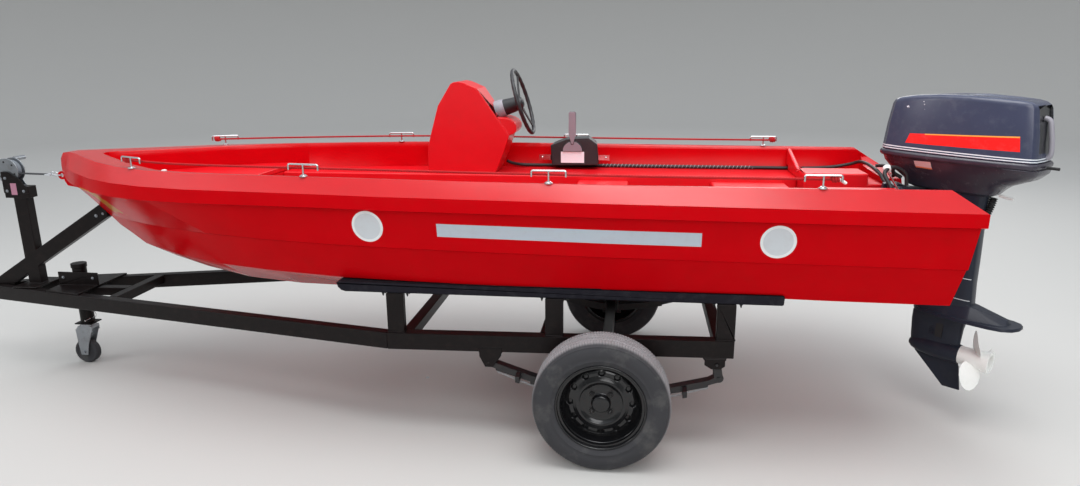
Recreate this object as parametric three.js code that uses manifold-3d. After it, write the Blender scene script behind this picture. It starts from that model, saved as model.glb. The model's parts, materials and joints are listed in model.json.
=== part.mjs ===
// Inshore rescue boat with its outboard motor, resting on a single-axle road trailer.
// Millimetres. +X is towards the bow, +Y is port, +Z is up, the ground is Z = 0.
// All X positions below are measured from the trailer axle; FRAME_SHIFT centres the whole thing.
import * as THREE from 'three';
import { mergeVertices } from 'three/addons/utils/BufferGeometryUtils.js';
import Module from 'manifold-3d';

const wasm = await Module();
wasm.setup();

const GAP = 0.3;
const FRAME_SHIFT = -949.4;
const SIDES = [{ name: 'port', sign: 1 }, { name: 'starboard', sign: -1 }];

// Colours and finishes, one entry per kind of surface.
const FINISH = {
  redShell: { color: 0xc8161b, roughness: 0.25, metalness: 0 },
  redInside: { color: 0xd8232a, roughness: 0.3, metalness: 0 },
  redRope: { color: 0xb01218, roughness: 0.8, metalness: 0 },
  stainless: { color: 0xd6d8da, roughness: 0.22, metalness: 1 },
  darkPlastic: { color: 0x2b2d31, roughness: 0.5, metalness: 0 },
  cableBlack: { color: 0x16171a, roughness: 0.6, metalness: 0 },
  cowlBlue: { color: 0x46566b, roughness: 0.25, metalness: 0.1 },
  cowlDark: { color: 0x2c3644, roughness: 0.3, metalness: 0.1 },
  legBlue: { color: 0x35414f, roughness: 0.35, metalness: 0.1 },
  propWhite: { color: 0xe6e7e4, roughness: 0.4, metalness: 0 },
  frameBlack: { color: 0x1e1a1b, roughness: 0.45, metalness: 0.1 },
  carpet: { color: 0x38373a, roughness: 0.95, metalness: 0 },
  zinc: { color: 0x9a9da1, roughness: 0.4, metalness: 0.9 },
  wheelBlack: { color: 0x1b1b1d, roughness: 0.4, metalness: 0.1 },
  tyreRubber: { color: 0x2e2e2f, roughness: 0.9, metalness: 0 },
  strapGrey: { color: 0x8f9196, roughness: 0.85, metalness: 0 },
};

// Hull stations: x, keel height, then half breadth and height of knee, chine, lap, band foot, fold and crest.
const HULL_COLUMNS = ['x', 'keelZ', 'kneeY', 'kneeZ', 'chineY', 'chineZ', 'lapY', 'lapZ',
  'strakeY', 'strakeZ', 'bandY', 'bandZ', 'foldY', 'foldZ', 'crestY', 'crestZ'];
const HULL_STATIONS = [
  [-1410, 565, 250, 600, 560, 680, 645, 852, 675, 1019, 702, 1027, 703, 1080, 655, 1158],
  [-900, 568, 255, 603, 570, 687, 655, 861, 687, 1025, 714, 1033, 715, 1087, 668, 1159],
  [-450, 566, 253, 600, 574, 695, 660, 865, 692, 1030, 719, 1038, 720, 1093, 673, 1160],
  [0, 562, 250, 597, 575, 702, 662, 869, 694, 1034, 721, 1042, 722, 1098, 675, 1162],
  [600, 555, 250, 588, 572, 710, 655, 877, 685, 1040, 712, 1048, 713, 1104, 670, 1168],
  [900, 551, 250, 584, 561, 714, 643, 881, 674, 1042, 701, 1050, 702, 1106, 660, 1171],
  [1150, 548, 250, 579, 545, 716, 625, 884, 655, 1044, 682, 1052, 683, 1108, 643, 1172],
  [1500, 542, 215, 575, 478, 716, 575, 887, 620, 1042, 647, 1050, 648, 1108, 603, 1170],
  [1800, 545, 160, 582, 385, 712, 490, 885, 582, 1038, 609, 1046, 610, 1106, 560, 1168],
  [2050, 578, 100, 612, 265, 712, 375, 878, 524, 1034, 551, 1042, 552, 1105, 500, 1168],
  [2250, 636, 55, 650, 150, 712, 275, 872, 447, 1032, 474, 1040, 475, 1105, 415, 1170],
  [2430, 691, 14, 696, 32, 706, 165, 866, 342, 1030, 369, 1038, 370, 1105, 305, 1173],
  [2580, 791, 8, 798, 18, 810, 60, 862, 227, 1028, 254, 1036, 255, 1106, 190, 1178],
  [2700, 911, 6, 916, 14, 924, 30, 938, 130, 1028, 157, 1036, 158, 1106, 95, 1182],
  [2790, 990, 4, 994, 8, 998, 16, 1006, 52, 1031, 74, 1038, 75, 1106, 34, 1184],
  [2838, 1040, 3, 1042, 6, 1045, 11, 1049, 20, 1056, 40, 1064, 42, 1108, 17, 1177],
  [2865, 1078, 2, 1080, 3, 1082, 5, 1085, 7, 1088, 9, 1092, 10, 1110, 6, 1146],
];
const LAP_STEP_IN = 14;
const LAP_STEP_HEIGHT = 6;

// Side view of the stern: sloped quarter facets above, raked transom below.
const STERN_PROFILE = [[-1273, 1230], [-1273, 1160], [-1397, 1078], [-1397, 1027], [-1385, 1020],
  [-1360, 680], [-1352, 480], [3000, 480], [3000, 1230]];
const TRANSOM_INSIDE = -1310;
const TRANSOM_TOP = [[200, 1000], [236, 1058], [560, 1070], [622, 1112], [640, 1300]];

// Half breadth of the inner opening at the gunwale.
const INNER_EDGE = [[-1320, 644], [-800, 655], [-400, 655], [0, 663], [400, 664], [800, 654], [1000, 642],
  [1200, 627], [1400, 601], [1600, 573], [1800, 540], [2000, 482], [2200, 353], [2400, 195], [2500, 116],
  [2570, 62], [2605, 22]];
const FLOOR_Z = 742;
const BENCH_TOP = 1035;
const BENCH_INNER_Y = 335;
const THWART_TOP = 1013;
const BOW_DECK = { aft: 1820, top: 1062 };
const AFT_BOX = { front: -930, step: -1232, inner: 190, outer: 370, top: 1085, wall: 22 };
const THWARTS = [{ name: 'thwart_centre', aft: -80, front: 180 }, { name: 'thwart_aft', aft: -870, front: -500 }];

// Handles on the gunwale: x of the post per side, port then starboard.
const HANDLE_X = { port: [2138, 1247, 221, -814], starboard: [2192, 1223, 218, -805] };
const HANDLE = { height: 50, halfLength: 68, rod: 6.5, base: 19, drop: 24 };
const ROPE = { radius: 5, inset: 11.8, height: 34 };

const BOW_EYE = { x: 2876, z: 1056 };

// Helm console in side view, standing on the starboard bench.
const CONSOLE_OUTLINE = [[1000, 1035.3], [997, 1165], [983, 1225], [934, 1392], [862, 1506], [845, 1515], [820, 1519],
  [790, 1513], [718, 1482], [552, 1236], [586, 1140], [632, 1035.3]];
const DASH_OUTLINE = [[640, 1330], [575, 1330], [548, 1322], [526, 1308], [514, 1288], [514, 1266], [526, 1248],
  [560, 1236], [640, 1236]];
const DASH_Y = [-576, -384];
const CONSOLE_Y = [-590, -370];
const HELM = { x: 491, y: -480, z: 1408, axis: [-0.956, 0, 0.294], rim: 171, tube: 11, hub: [-35.4, -150] };

// Remote control box on the starboard wall.
const REMOTE_NEAR = [[351, -540, 1168], [265, -540, 1202], [139, -540, 1209], [93, -540, 1176], [88, -540, 1062],
  [343, -540, 1057]];
const REMOTE_FAR = [[338, -640, 1176], [262, -640, 1206], [142, -640, 1212], [105, -640, 1184], [88, -652, 1062],
  [343, -652, 1058]];
const LEVER = [[210, 1344], [214, 1352], [246, 1352], [250, 1344], [250, 1232], [235, 1176], [226, 1176], [210, 1232]];
const LEVER_BOOT = { x: 229, z: 1136, radius: 55 };
const REMOTE_TABS = [[338, 414], [28, 94]];

// Outboard: pivot on the transom, lean of its steering axis, and the turn it is parked at, rear to port.
const MOTOR = { pivotX: -1400, pivotZ: 1000, lean: THREE.MathUtils.degToRad(2), turn: THREE.MathUtils.degToRad(41) };
const TILT_PIN = { x: -1292, z: 1056 };
const STEER_U = -55;
// Half plans of the cowl at the seam and at the top, point for point.
const COWL_LOW = [[165, 0], [163, 62], [150, 114], [126, 140], [60, 158], [-60, 168], [-200, 168], [-330, 158],
  [-420, 140], [-452, 126], [-466, 100], [-470, 0]];
const COWL_HIGH = [[148, 0], [146, 56], [134, 100], [110, 126], [44, 142], [-60, 150], [-200, 150], [-310, 142],
  [-392, 127], [-422, 114], [-434, 92], [-438, 0]];
const COWL_TOP = [[-440, 462], [-380, 472], [-287, 478], [-167, 484], [-67, 479], [43, 468], [150, 446]];
const COWL_RINGS = [{ rise: 0, inset: 3 }, { rise: 0.03, inset: 0 }, { rise: 0.5, inset: -2 }, { rise: 0.9, inset: 2 },
  { rise: 0.96, inset: 8 }, { rise: 0.99, inset: 20 }, { rise: 1, inset: 44 }];
const COWL_CENTRE = -150;
const HAND_HOLD = { halfWidth: 88, outline: [[-500, 388], [-436, 388], [-426, 450], [-500, 450]] };
const SEAM = { v: 224, gap: 0.4 };
const LIP_RINGS = [{ v: 196, inset: 2 }, { v: 203, inset: -6 }, { v: 216, inset: -7 }, { v: 224, inset: 0 }];
const PAN_RINGS = [
  { v: 66, front: 45, rear: -322, half: 66, corner: 0.5 },
  { v: 91, front: 60, rear: -342, half: 80, corner: 0.47 },
  { v: 112, front: 84, rear: -366, half: 96, corner: 0.44 },
  { v: 150, front: 132, rear: -452, half: 126, corner: 0.42 },
  { v: 174, front: 148, rear: -474, half: 146, corner: 0.4 },
  { v: 197, front: 154, rear: -478, half: 160, corner: 0.4 },
];
const LEG_RINGS = [
  { v: 65, front: 38, rear: -312, half: 64, corner: 0.5 },
  { v: 60, front: 20, rear: -308, half: 60, corner: 0.5 },
  { v: 58, front: -104, rear: -290, half: 52, corner: 0.5 },
  { v: -20, front: -104, rear: -284, half: 50, corner: 0.5 },
  { v: -106, front: -104, rear: -287, half: 49, corner: 0.45 },
  { v: -241, front: -104, rear: -293, half: 48, corner: 0.45 },
  { v: -338, front: -104, rear: -296, half: 47, corner: 0.45 },
  { v: -440, front: -104, rear: -304, half: 46, corner: 0.45 },
  { v: -515, front: -60, rear: -290, half: 40, corner: 0.5 },
  { v: -560, front: -58, rear: -282, half: 33, corner: 0.6 },
  { v: -640, front: -62, rear: -280, half: 27, corner: 0.8 },
  { v: -690, front: -70, rear: -284, half: 26, corner: 0.8 },
];
// The gearcase and propeller share one shaft line, square to the steering axis.
const SHAFT = { u: -285, v: -678 };
const GEARCASE = [[226, 0], [222, 14], [208, 27], [176, 38], [120, 45], [40, 46], [0, 44], [0, 0]];
const SKEG = [[-84, -700], [-92, -716], [-235, -850], [-309, -847], [-290, -740], [-283, -722], [-283, -700]];
const PLATE_COLUMNS = ['u', 'half', 'low'];
const PLATE_STATIONS = [[-60, 18, -506], [-85, 52, -506], [-150, 78, -506], [-260, 92, -505], [-400, 92, -502],
  [-450, 84, -500], [-484, 60, -498], [-502, 22, -496]];
const PLATE_THICKNESS = 15;
const FAIRING_COLUMNS = ['u', 'topV', 'topHalf', 'lowV', 'lowHalf'];
const FAIRING_STATIONS = [[-62, -470, 12, -492, 26], [-95, -456, 36, -492, 52], [-180, -446, 42, -492, 70],
  [-296, -436, 40, -492, 76], [-312, -437, 34, -492, 76], [-446, -465, 12, -491, 52], [-456, -482, 8, -491, 44]];
const PROP = { front: -0.4, rear: -127, disc: -68, hub: 41, boss: 50, bore: 36 };
const SWIVEL = { foot: -338, head: 57, radius: 32 };

// Trailer: the frame slopes gently nose-down and every frame member follows that slope.
const FRAME_SLOPE = -0.0155;
const FRAME_TOP = 500;
const RAIL = { depth: 75, width: 50, y: 578, rear: -536, bend: 940 };
const DRAWBAR = { front: 3420, halfGap: 20 };
const POST_X = [915, 210, -500];
const BUNK = { rear: -724, front: 1160, inner: 490, outer: 590, bottom: 663.5, nose: 40, top: 708 };
const AXLE = { z: 281.5, half: 25, end: 650 };
const WHEEL = { y: 735, radius: 281.5, halfWidth: 82.5, rim: 180.5 };
const SPRING = { y: 578, width: 42, frontEye: [494, 364], rearEye: [-480, 345], shackle: [-468, 407] };
const CROSS_MEMBERS = [
  { name: 'cross_member_1', x: -480 }, { name: 'cross_member_2', x: 250 },
  { name: 'cross_member_3', x: 858 }, { name: 'cross_member_4', x: 2542 },
];
const CENTRE_BAR = { from: 2542 + 25.3, to: 2832, inner: 3, outer: 53 };
const WINCH_POST = { rear: 3090, front: 3165, half: 25, top: 936 };
const WINCH_HEAD = { rear: 3067, front: 3208, half: 29, base: 934, top: 996 };
const WINCH_DRUM = { x: 3178, z: 1078, flange: 65, core: 30, half: 24 };
const WINCH_ARM = { foot: [3352, 0, 441], tip: [2600, 0, 908], width: 50, depth: 76 };
const JOCKEY = { x: 2870, radius: 35, foot: 236, top: 576 };
const CASTER = { x: 2898, z: 68, radius: 68, width: 40 };
const COUPLER = { rear: 3420.3, ball: 3700, tip: 3750 };

const lerp = (a, b, t) => a + (b - a) * t;
const tableAt = (table, x) => {
  const rows = table[0][0] < table[table.length - 1][0] ? table : [...table].reverse();
  if (x <= rows[0][0]) return rows[0][1];
  for (let i = 1; i < rows.length; i += 1) {
    if (x <= rows[i][0]) {
      return lerp(rows[i - 1][1], rows[i][1], (x - rows[i - 1][0]) / (rows[i][0] - rows[i - 1][0]));
    }
  }
  return rows[rows.length - 1][1];
};
const rowObjects = (columns, rows) => rows.map((row) => Object.fromEntries(columns.map((name, i) => [name, row[i]])));
const hullRows = rowObjects(HULL_COLUMNS, HULL_STATIONS);
const hullAt = (name, x) => tableAt(hullRows.map((row) => [row.x, row[name]]), x);

// Solids: three.js makes the shapes, joining and cutting turns them into one closed body.
const toSolid = (geometry) => {
  const bare = geometry.clone();
  bare.deleteAttribute('normal');
  bare.deleteAttribute('uv');
  const merged = mergeVertices(bare, 1e-3);
  const index = merged.index.array;
  const kept = [];
  for (let i = 0; i < index.length; i += 3) {
    const [a, b, c] = [index[i], index[i + 1], index[i + 2]];
    if (a !== b && b !== c && a !== c) kept.push(a, b, c);
  }
  return new wasm.Manifold(new wasm.Mesh({
    numProp: 3,
    vertProperties: new Float32Array(merged.attributes.position.array),
    triVerts: new Uint32Array(kept),
  }));
};
const toGeometry = (solid) => {
  const { vertProperties, triVerts, numProp } = solid.getMesh();
  const positions = new Float32Array((vertProperties.length / numProp) * 3);
  for (let i = 0; i < positions.length / 3; i += 1) {
    for (let k = 0; k < 3; k += 1) positions[i * 3 + k] = vertProperties[i * numProp + k];
  }
  const geometry = new THREE.BufferGeometry();
  geometry.setAttribute('position', new THREE.BufferAttribute(positions, 3));
  geometry.setIndex(new THREE.BufferAttribute(new Uint32Array(triVerts), 1));
  return geometry;
};
const join = (...geometries) => toGeometry(geometries.map(toSolid).reduce((a, b) => a.add(b)));
const cut = (geometry, ...tools) => toGeometry(tools.map(toSolid).reduce((a, b) => a.subtract(b), toSolid(geometry)));
const common = (a, b) => toGeometry(toSolid(a).intersect(toSolid(b)));

// Plain shapes.
const box = (x0, x1, y0, y1, z0, z1) => new THREE.BoxGeometry(x1 - x0, y1 - y0, z1 - z0)
  .translate((x0 + x1) / 2, (y0 + y1) / 2, (z0 + z1) / 2);
const extrudeXZ = (points, y0, y1) => {
  const shape = new THREE.Shape(points.map(([x, z]) => new THREE.Vector2(x, z)));
  return new THREE.ExtrudeGeometry(shape, { depth: y1 - y0, bevelEnabled: false }).rotateX(Math.PI / 2).translate(0, y1, 0);
};
const extrudeXY = (points, z0, z1) => {
  const shape = new THREE.Shape(points.map(([x, y]) => new THREE.Vector2(x, y)));
  return new THREE.ExtrudeGeometry(shape, { depth: z1 - z0, bevelEnabled: false }).translate(0, 0, z0);
};
const rodY = (x, z, radius, y0, y1, segments = 20) => new THREE.CylinderGeometry(radius, radius, y1 - y0, segments)
  .translate(x, (y0 + y1) / 2, z);
const rodX = (y, z, radius, x0, x1, segments = 20) => new THREE.CylinderGeometry(radius, radius, x1 - x0, segments)
  .rotateZ(Math.PI / 2).translate((x0 + x1) / 2, y, z);
const rodZ = (x, y, radius, z0, z1, segments = 20) => new THREE.CylinderGeometry(radius, radius, z1 - z0, segments)
  .rotateX(Math.PI / 2).translate(x, y, (z0 + z1) / 2);
const beam = (from, to, width, depth) => {
  const start = new THREE.Vector3(...from);
  const direction = new THREE.Vector3(...to).sub(start);
  const length = direction.length();
  const side = new THREE.Vector3(0, 1, 0);
  const along = direction.normalize();
  side.addScaledVector(along, -side.dot(along)).normalize();
  const up = new THREE.Vector3().crossVectors(along, side);
  const turn = new THREE.Matrix4().makeBasis(along, side, up).setPosition(start);
  return new THREE.BoxGeometry(length, width, depth).translate(length / 2, 0, 0).applyMatrix4(turn);
};
const flipY = (geometry) => {
  const flipped = geometry.clone().scale(1, -1, 1);
  const index = flipped.index.array;
  for (let i = 0; i < index.length; i += 3) [index[i], index[i + 1]] = [index[i + 1], index[i]];
  return flipped;
};
const tube = (points, radius, sides, steps) => {
  const curve = new THREE.CatmullRomCurve3(points.map((p) => new THREE.Vector3(...p)), false, 'centripetal');
  const ring = new THREE.Shape(Array.from({ length: sides }, (_, i) => {
    const angle = (i / sides) * Math.PI * 2;
    return new THREE.Vector2(Math.cos(angle) * radius, Math.sin(angle) * radius);
  }));
  return new THREE.ExtrudeGeometry(ring, { steps, bevelEnabled: false, extrudePath: curve });
};
const lathe = (profile, segments) => new THREE.LatheGeometry(profile.map(([r, h]) => new THREE.Vector2(r, h)), segments);

// A skin through rings of equal point count, closed by a fan at both ends.
const loft = (rings) => {
  const count = rings[0].length;
  const positions = rings.flat(2);
  const index = [];
  for (let r = 0; r + 1 < rings.length; r += 1) {
    for (let i = 0; i < count; i += 1) {
      const a = r * count + i;
      const b = r * count + ((i + 1) % count);
      index.push(a, b, b + count, a, b + count, a + count);
    }
  }
  const last = (rings.length - 1) * count;
  for (let i = 1; i + 1 < count; i += 1) {
    index.push(0, i + 1, i);
    index.push(last, last + i, last + i + 1);
  }
  const geometry = new THREE.BufferGeometry();
  geometry.setAttribute('position', new THREE.BufferAttribute(new Float32Array(positions), 3));
  geometry.setIndex(index);
  const solid = volume(geometry);
  if (solid < 0) {
    for (let i = 0; i < index.length; i += 3) [index[i], index[i + 1]] = [index[i + 1], index[i]];
    geometry.setIndex(index);
  }
  return geometry;
};
const volume = (geometry) => {
  const position = geometry.attributes.position;
  const index = geometry.index.array;
  const [a, b, c] = [new THREE.Vector3(), new THREE.Vector3(), new THREE.Vector3()];
  let sum = 0;
  for (let i = 0; i < index.length; i += 3) {
    a.fromBufferAttribute(position, index[i]);
    b.fromBufferAttribute(position, index[i + 1]);
    c.fromBufferAttribute(position, index[i + 2]);
    sum += a.dot(b.cross(c)) / 6;
  }
  return sum;
};
const mirrored = (half) => [...half, ...half.filter(([, y]) => y > 0).reverse().map(([x, y, z]) => [x, -y, z])];

// Hull: a loft through the stations, trimmed to the stern profile and hollowed by the cockpit.
const hullHalfRing = (row) => [
  [row.x, 0, row.keelZ], [row.x, row.kneeY, row.kneeZ], [row.x, row.chineY, row.chineZ],
  [row.x, Math.max(row.lapY - LAP_STEP_IN, row.lapY * 0.85), row.lapZ - LAP_STEP_HEIGHT], [row.x, row.lapY, row.lapZ],
  [row.x, row.strakeY, row.strakeZ], [row.x, row.bandY, row.bandZ], [row.x, row.foldY, row.foldZ],
  [row.x, row.crestY, row.crestZ],
];
const hullOuter = () => common(
  loft(hullRows.map((row) => mirrored(hullHalfRing(row)))),
  extrudeXZ(STERN_PROFILE, -800, 800),
);
const cavityRing = (x, shrink, bottom) => {
  const edge = tableAt(INNER_EDGE, x) - shrink;
  const crest = hullAt('crestZ', x);
  const low = bottom > FLOOR_Z + 50 ? edge - 15 : Math.min(hullAt('chineY', x) - 22 - shrink, edge - 15);
  const half = [[x, Math.max(low, 4), bottom + shrink], [x, Math.max(edge - 15, 5), BENCH_TOP + 1],
    [x, Math.max(edge - 9, 6), 1140], [x, Math.max(edge - 5, 7), crest - 10], [x, Math.max(edge + 1, 9), crest],
    [x, Math.max(edge + 1, 9), 1300]];
  return mirrored(half);
};
const cockpit = (shrink) => {
  const stops = [TRANSOM_INSIDE + shrink, -800, -400, 0, 400, 800, 1000, 1200, 1400, 1600, BOW_DECK.aft - shrink];
  const bowStops = [1750, 1800, 1900, 2000, 2100, 2200, 2300, 2400, 2500, 2570, 2605 - shrink];
  return join(loft(stops.map((x) => cavityRing(x, shrink, FLOOR_Z))),
    loft(bowStops.map((x) => cavityRing(x, shrink, BENCH_TOP))));
};
// An upright plate: an outline in Y and Z, thickened along X.
const extrudeYZ = (points, x0, x1) => {
  const shape = new THREE.Shape(points.map(([y, z]) => new THREE.Vector2(y, z)));
  const turn = new THREE.Matrix4().makeBasis(
    new THREE.Vector3(0, 1, 0), new THREE.Vector3(0, 0, 1), new THREE.Vector3(1, 0, 0));
  return new THREE.ExtrudeGeometry(shape, { depth: x1 - x0, bevelEnabled: false }).applyMatrix4(turn).translate(x0, 0, 0);
};
const hullShell = () => {
  const lowTransom = [...TRANSOM_TOP, ...[...TRANSOM_TOP].reverse().map(([y, z]) => [-y, z])];
  return cut(hullOuter(), cockpit(0), extrudeYZ(lowTransom, -1500, TRANSOM_INSIDE + 5));
};

// The box front carries on as a bulkhead that climbs to the gunwale, notched for the cables.
const aftBulkhead = (sign) => {
  const outline = [[AFT_BOX.outer - 40, BENCH_TOP + GAP], [AFT_BOX.outer - 40, AFT_BOX.top - 8], [390, AFT_BOX.top],
    [640, 1150], [700, 1150], [700, BENCH_TOP + GAP]];
  const upright = extrudeYZ(outline, AFT_BOX.front - AFT_BOX.wall, AFT_BOX.front);
  const notch = box(AFT_BOX.front - 60, AFT_BOX.front + 30, 590, 720, BENCH_TOP - 5, BENCH_TOP + 26);
  const plate = cut(upright, notch);
  return sign > 0 ? plate : flipY(plate);
};

const cockpitPieces = () => {
  const inside = cockpit(GAP);
  const aftEnd = TRANSOM_INSIDE + GAP;
  const pieces = SIDES.map(({ name, sign }) => {
    const span = [BENCH_INNER_Y * sign, 800 * sign].sort((a, b) => a - b);
    const bench = common(inside, box(aftEnd, BOW_DECK.aft - GAP, span[0], span[1], FLOOR_Z + GAP, BENCH_TOP));
    const gapSpan = [0, (AFT_BOX.outer + GAP) * sign].sort((a, b) => a - b);
    const notch = box(-1400, AFT_BOX.front + GAP, gapSpan[0], gapSpan[1], 600, 1200);
    return [`bench_${name}`, cut(bench, notch), FINISH.redInside];
  });
  THWARTS.forEach(({ name, aft, front }) => {
    const half = BENCH_INNER_Y - GAP;
    pieces.push([name, box(aft, front, -half, half, FLOOR_Z + GAP, THWART_TOP), FINISH.redInside]);
  });
  const deckBox = box(BOW_DECK.aft, 2640, -600, 600, BENCH_TOP + GAP, BOW_DECK.top);
  pieces.push(['bow_deck', common(inside, deckBox), FINISH.redInside]);
  SIDES.forEach(({ name, sign }) => {
    const span = [AFT_BOX.inner * sign, AFT_BOX.outer * sign].sort((a, b) => a - b);
    const body = extrudeXZ([[AFT_BOX.front, FLOOR_Z + GAP], [AFT_BOX.front, AFT_BOX.top - 12],
      [AFT_BOX.front - 12, AFT_BOX.top], [AFT_BOX.step, AFT_BOX.top], [AFT_BOX.step, BENCH_TOP],
      [aftEnd, BENCH_TOP], [aftEnd, FLOOR_Z + GAP]], span[0], span[1]);
    pieces.push([`aft_box_${name}`, common(inside, join(body, aftBulkhead(sign))), FINISH.redInside]);
  });
  return pieces;
};

// Gunwale handles: base, post and a bar with turned-down ends; the lifeline runs through them.
const handle = (x, sign) => {
  const y = hullAt('crestY', x) * sign - 6 * sign;
  const foot = hullAt('crestZ', x) + GAP;
  const ahead = hullAt('crestY', x + 40) - hullAt('crestY', x - 40);
  const turn = Math.atan2(ahead * sign, 80);
  const bar = tube([[-HANDLE.halfLength, 0, -HANDLE.drop], [-HANDLE.halfLength + 2, 0, -8],
    [-HANDLE.halfLength + 12, 0, 0], [0, 0, 0], [HANDLE.halfLength - 12, 0, 0],
    [HANDLE.halfLength - 2, 0, -8], [HANDLE.halfLength, 0, -HANDLE.drop]], HANDLE.rod - 1, 6, 13);
  bar.rotateZ(turn).translate(x, y, foot + HANDLE.height);
  const post = rodZ(x, y, HANDLE.rod, foot, foot + HANDLE.height, 8);
  return join(rodZ(x, y, HANDLE.base, foot, foot + 4, 14), post, bar);
};
const lifeline = (name, sign) => {
  const stops = HANDLE_X[name];
  const at = (x) => [x, (hullAt('crestY', x) - 6 - ROPE.inset) * sign, hullAt('crestZ', x) + ROPE.height];
  const points = [];
  stops.forEach((x, i) => {
    points.push(at(x));
    if (i + 1 < stops.length) {
      const count = i === 0 ? 4 : 3;
      for (let k = 1; k < count; k += 1) points.push(at(lerp(x, stops[i + 1], k / count)));
    }
  });
  return tube([at(stops[0] + 32), ...points, at(stops[stops.length - 1] - 45)], ROPE.radius, 6, 44);
};
const handlesAndRopes = () => SIDES.flatMap(({ name, sign }) => [
  ...HANDLE_X[name].map((x, i) => [`handle_${name}_${i + 1}`, handle(x, sign), FINISH.stainless]),
  [`rope_${name}`, lifeline(name, sign), FINISH.redRope],
]);

// Helm: console, wheel and remote control box with its lever.
const consoleBody = () => {
  const shell = join(extrudeXZ(CONSOLE_OUTLINE, ...CONSOLE_Y), extrudeXZ(DASH_OUTLINE, ...DASH_Y));
  const [near, far] = HELM.hub;
  const hub = new THREE.CylinderGeometry(34, 46, near - far, 20).rotateX(Math.PI / 2);
  return join(shell, placeOnHelm(hub.translate(0, 0, (near + far) / 2)));
};
const placeOnHelm = (geometry) => {
  const axis = new THREE.Vector3(...HELM.axis).normalize();
  const side = new THREE.Vector3(0, 1, 0);
  const up = new THREE.Vector3().crossVectors(side, axis).normalize();
  const turn = new THREE.Matrix4().makeBasis(up, side, axis).setPosition(HELM.x, HELM.y, HELM.z);
  return geometry.clone().applyMatrix4(turn);
};
const steeringWheel = () => {
  const rim = new THREE.TorusGeometry(HELM.rim, HELM.tube, 6, 30);
  const parts = [rim, new THREE.CylinderGeometry(26, 34, 34, 20).rotateX(Math.PI / 2).translate(0, 0, -18)];
  [90, 210, 330].forEach((angle) => {
    const spoke = beam([14, 0, -16], [HELM.rim, 0, 0], 26, 7);
    parts.push(spoke.rotateZ(THREE.MathUtils.degToRad(angle)));
  });
  return placeOnHelm(join(...parts));
};
const remoteBox = () => {
  const body = common(loft([REMOTE_NEAR, REMOTE_FAR]), cockpit(GAP));
  const boot = common(rodY(LEVER_BOOT.x, LEVER_BOOT.z, LEVER_BOOT.radius, -545, -532, 32),
    box(100, 400, -560, -500, LEVER_BOOT.z, 1300));
  const tabs = REMOTE_TABS.map(([aft, front]) => box(Math.min(aft, front), Math.max(aft, front), -548, -544, 1088, 1116));
  return join(body, boot, extrudeXZ(LEVER, -538, -529), ...tabs);
};

// Cables: from the console foot along the bench, under the remote box and aft to the motor clamp.
const cables = () => {
  const wall = (x) => -(tableAt(INNER_EDGE, x) - 15 - 12);
  const rise = BENCH_TOP + 10.5;
  return tube([[600, -575, 1075], [570, -594, 1060], [530, wall(530) + 12, rise + 4], [460, wall(460) + 3, rise],
    [250, wall(250), rise], [0, wall(0), rise], [-300, wall(-300), rise], [-600, wall(-600), rise],
    [-800, wall(-800), rise], [-1000, wall(-1000), rise], [-1150, wall(-1150) + 2, rise + 8],
    [-1245, wall(-1245) + 14, rise + 26], [-1288, -560, 1092], [-1294, -450, 1098], [-1294, -320, 1092],
    [-1294, -220, 1078], [TILT_PIN.x, -160, TILT_PIN.z + 4], [TILT_PIN.x, -128, TILT_PIN.z],
    [TILT_PIN.x, -111, TILT_PIN.z]], 9.5, 6, 56);
};

// Bow eye: a red block moulded round the stem with a steel eye plate in front of it.
const bowEye = () => {
  const block = extrudeXZ([[2730, 1004], [2776, 997], [2832, 1006], [2846, 1030], [2849, 1072], [2840, 1084],
    [2730, 1084]], -27, 27);
  const eye = cut(join(rodY(BOW_EYE.x, BOW_EYE.z, 22, -6, 6, 24), box(2838, BOW_EYE.x, -6, 6, BOW_EYE.z - 20, BOW_EYE.z + 20)),
    rodY(BOW_EYE.x + 2, BOW_EYE.z, 12, -9, 9, 16));
  const hull = hullOuter();
  return cut(join(block, eye), hull, hull.clone().translate(GAP, 0, 0));
};

// Motor, drawn in its own upright frame (u forward, v up), turned about the steering axis and then leant.
const toBracket = (geometry) => geometry.rotateY(-MOTOR.lean).translate(MOTOR.pivotX, 0, MOTOR.pivotZ);
const toMotor = (geometry) => toBracket(geometry.translate(-STEER_U, 0, 0).rotateZ(-MOTOR.turn).translate(STEER_U, 0, 0));
const planRing = ({ front, rear, half, corner }, height) => {
  const centre = (front + rear) / 2;
  const reach = (front - rear) / 2;
  const count = 24;
  const bulge = (part) => Math.sign(part) * Math.abs(part) ** corner;
  return Array.from({ length: count }, (_, i) => {
    const angle = (i / count) * Math.PI * 2;
    return [centre + reach * bulge(Math.cos(angle)), half * bulge(Math.sin(angle)), height];
  });
};
// A ring between the low and the high plan, drawn in by an inset towards the middle of the cowl.
const cowlRing = (blend, inset, heightOf) => {
  const half = COWL_LOW.map(([lowU, lowY], i) => {
    const [u, y] = [lerp(lowU, COWL_HIGH[i][0], blend), lerp(lowY, COWL_HIGH[i][1], blend)];
    const length = Math.hypot(u - COWL_CENTRE, y);
    const k = (length - inset) / length;
    const drawnU = COWL_CENTRE + (u - COWL_CENTRE) * k;
    return [drawnU, y * k, heightOf(drawnU)];
  });
  return mirrored(half);
};
const topCowl = () => {
  const shell = loft(COWL_RINGS.map(({ rise, inset }) => cowlRing(rise, inset,
    (u) => lerp(SEAM.v + SEAM.gap, tableAt(COWL_TOP, u), rise))));
  return toMotor(cut(shell, extrudeXZ(HAND_HOLD.outline, -HAND_HOLD.halfWidth, HAND_HOLD.halfWidth)));
};
const lowerCowl = () => {
  const pan = loft(PAN_RINGS.map((ring) => planRing(ring, ring.v)));
  const lip = loft(LIP_RINGS.map(({ v, inset }) => cowlRing(0, inset, () => v)));
  return toMotor(join(pan, lip));
};
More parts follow.
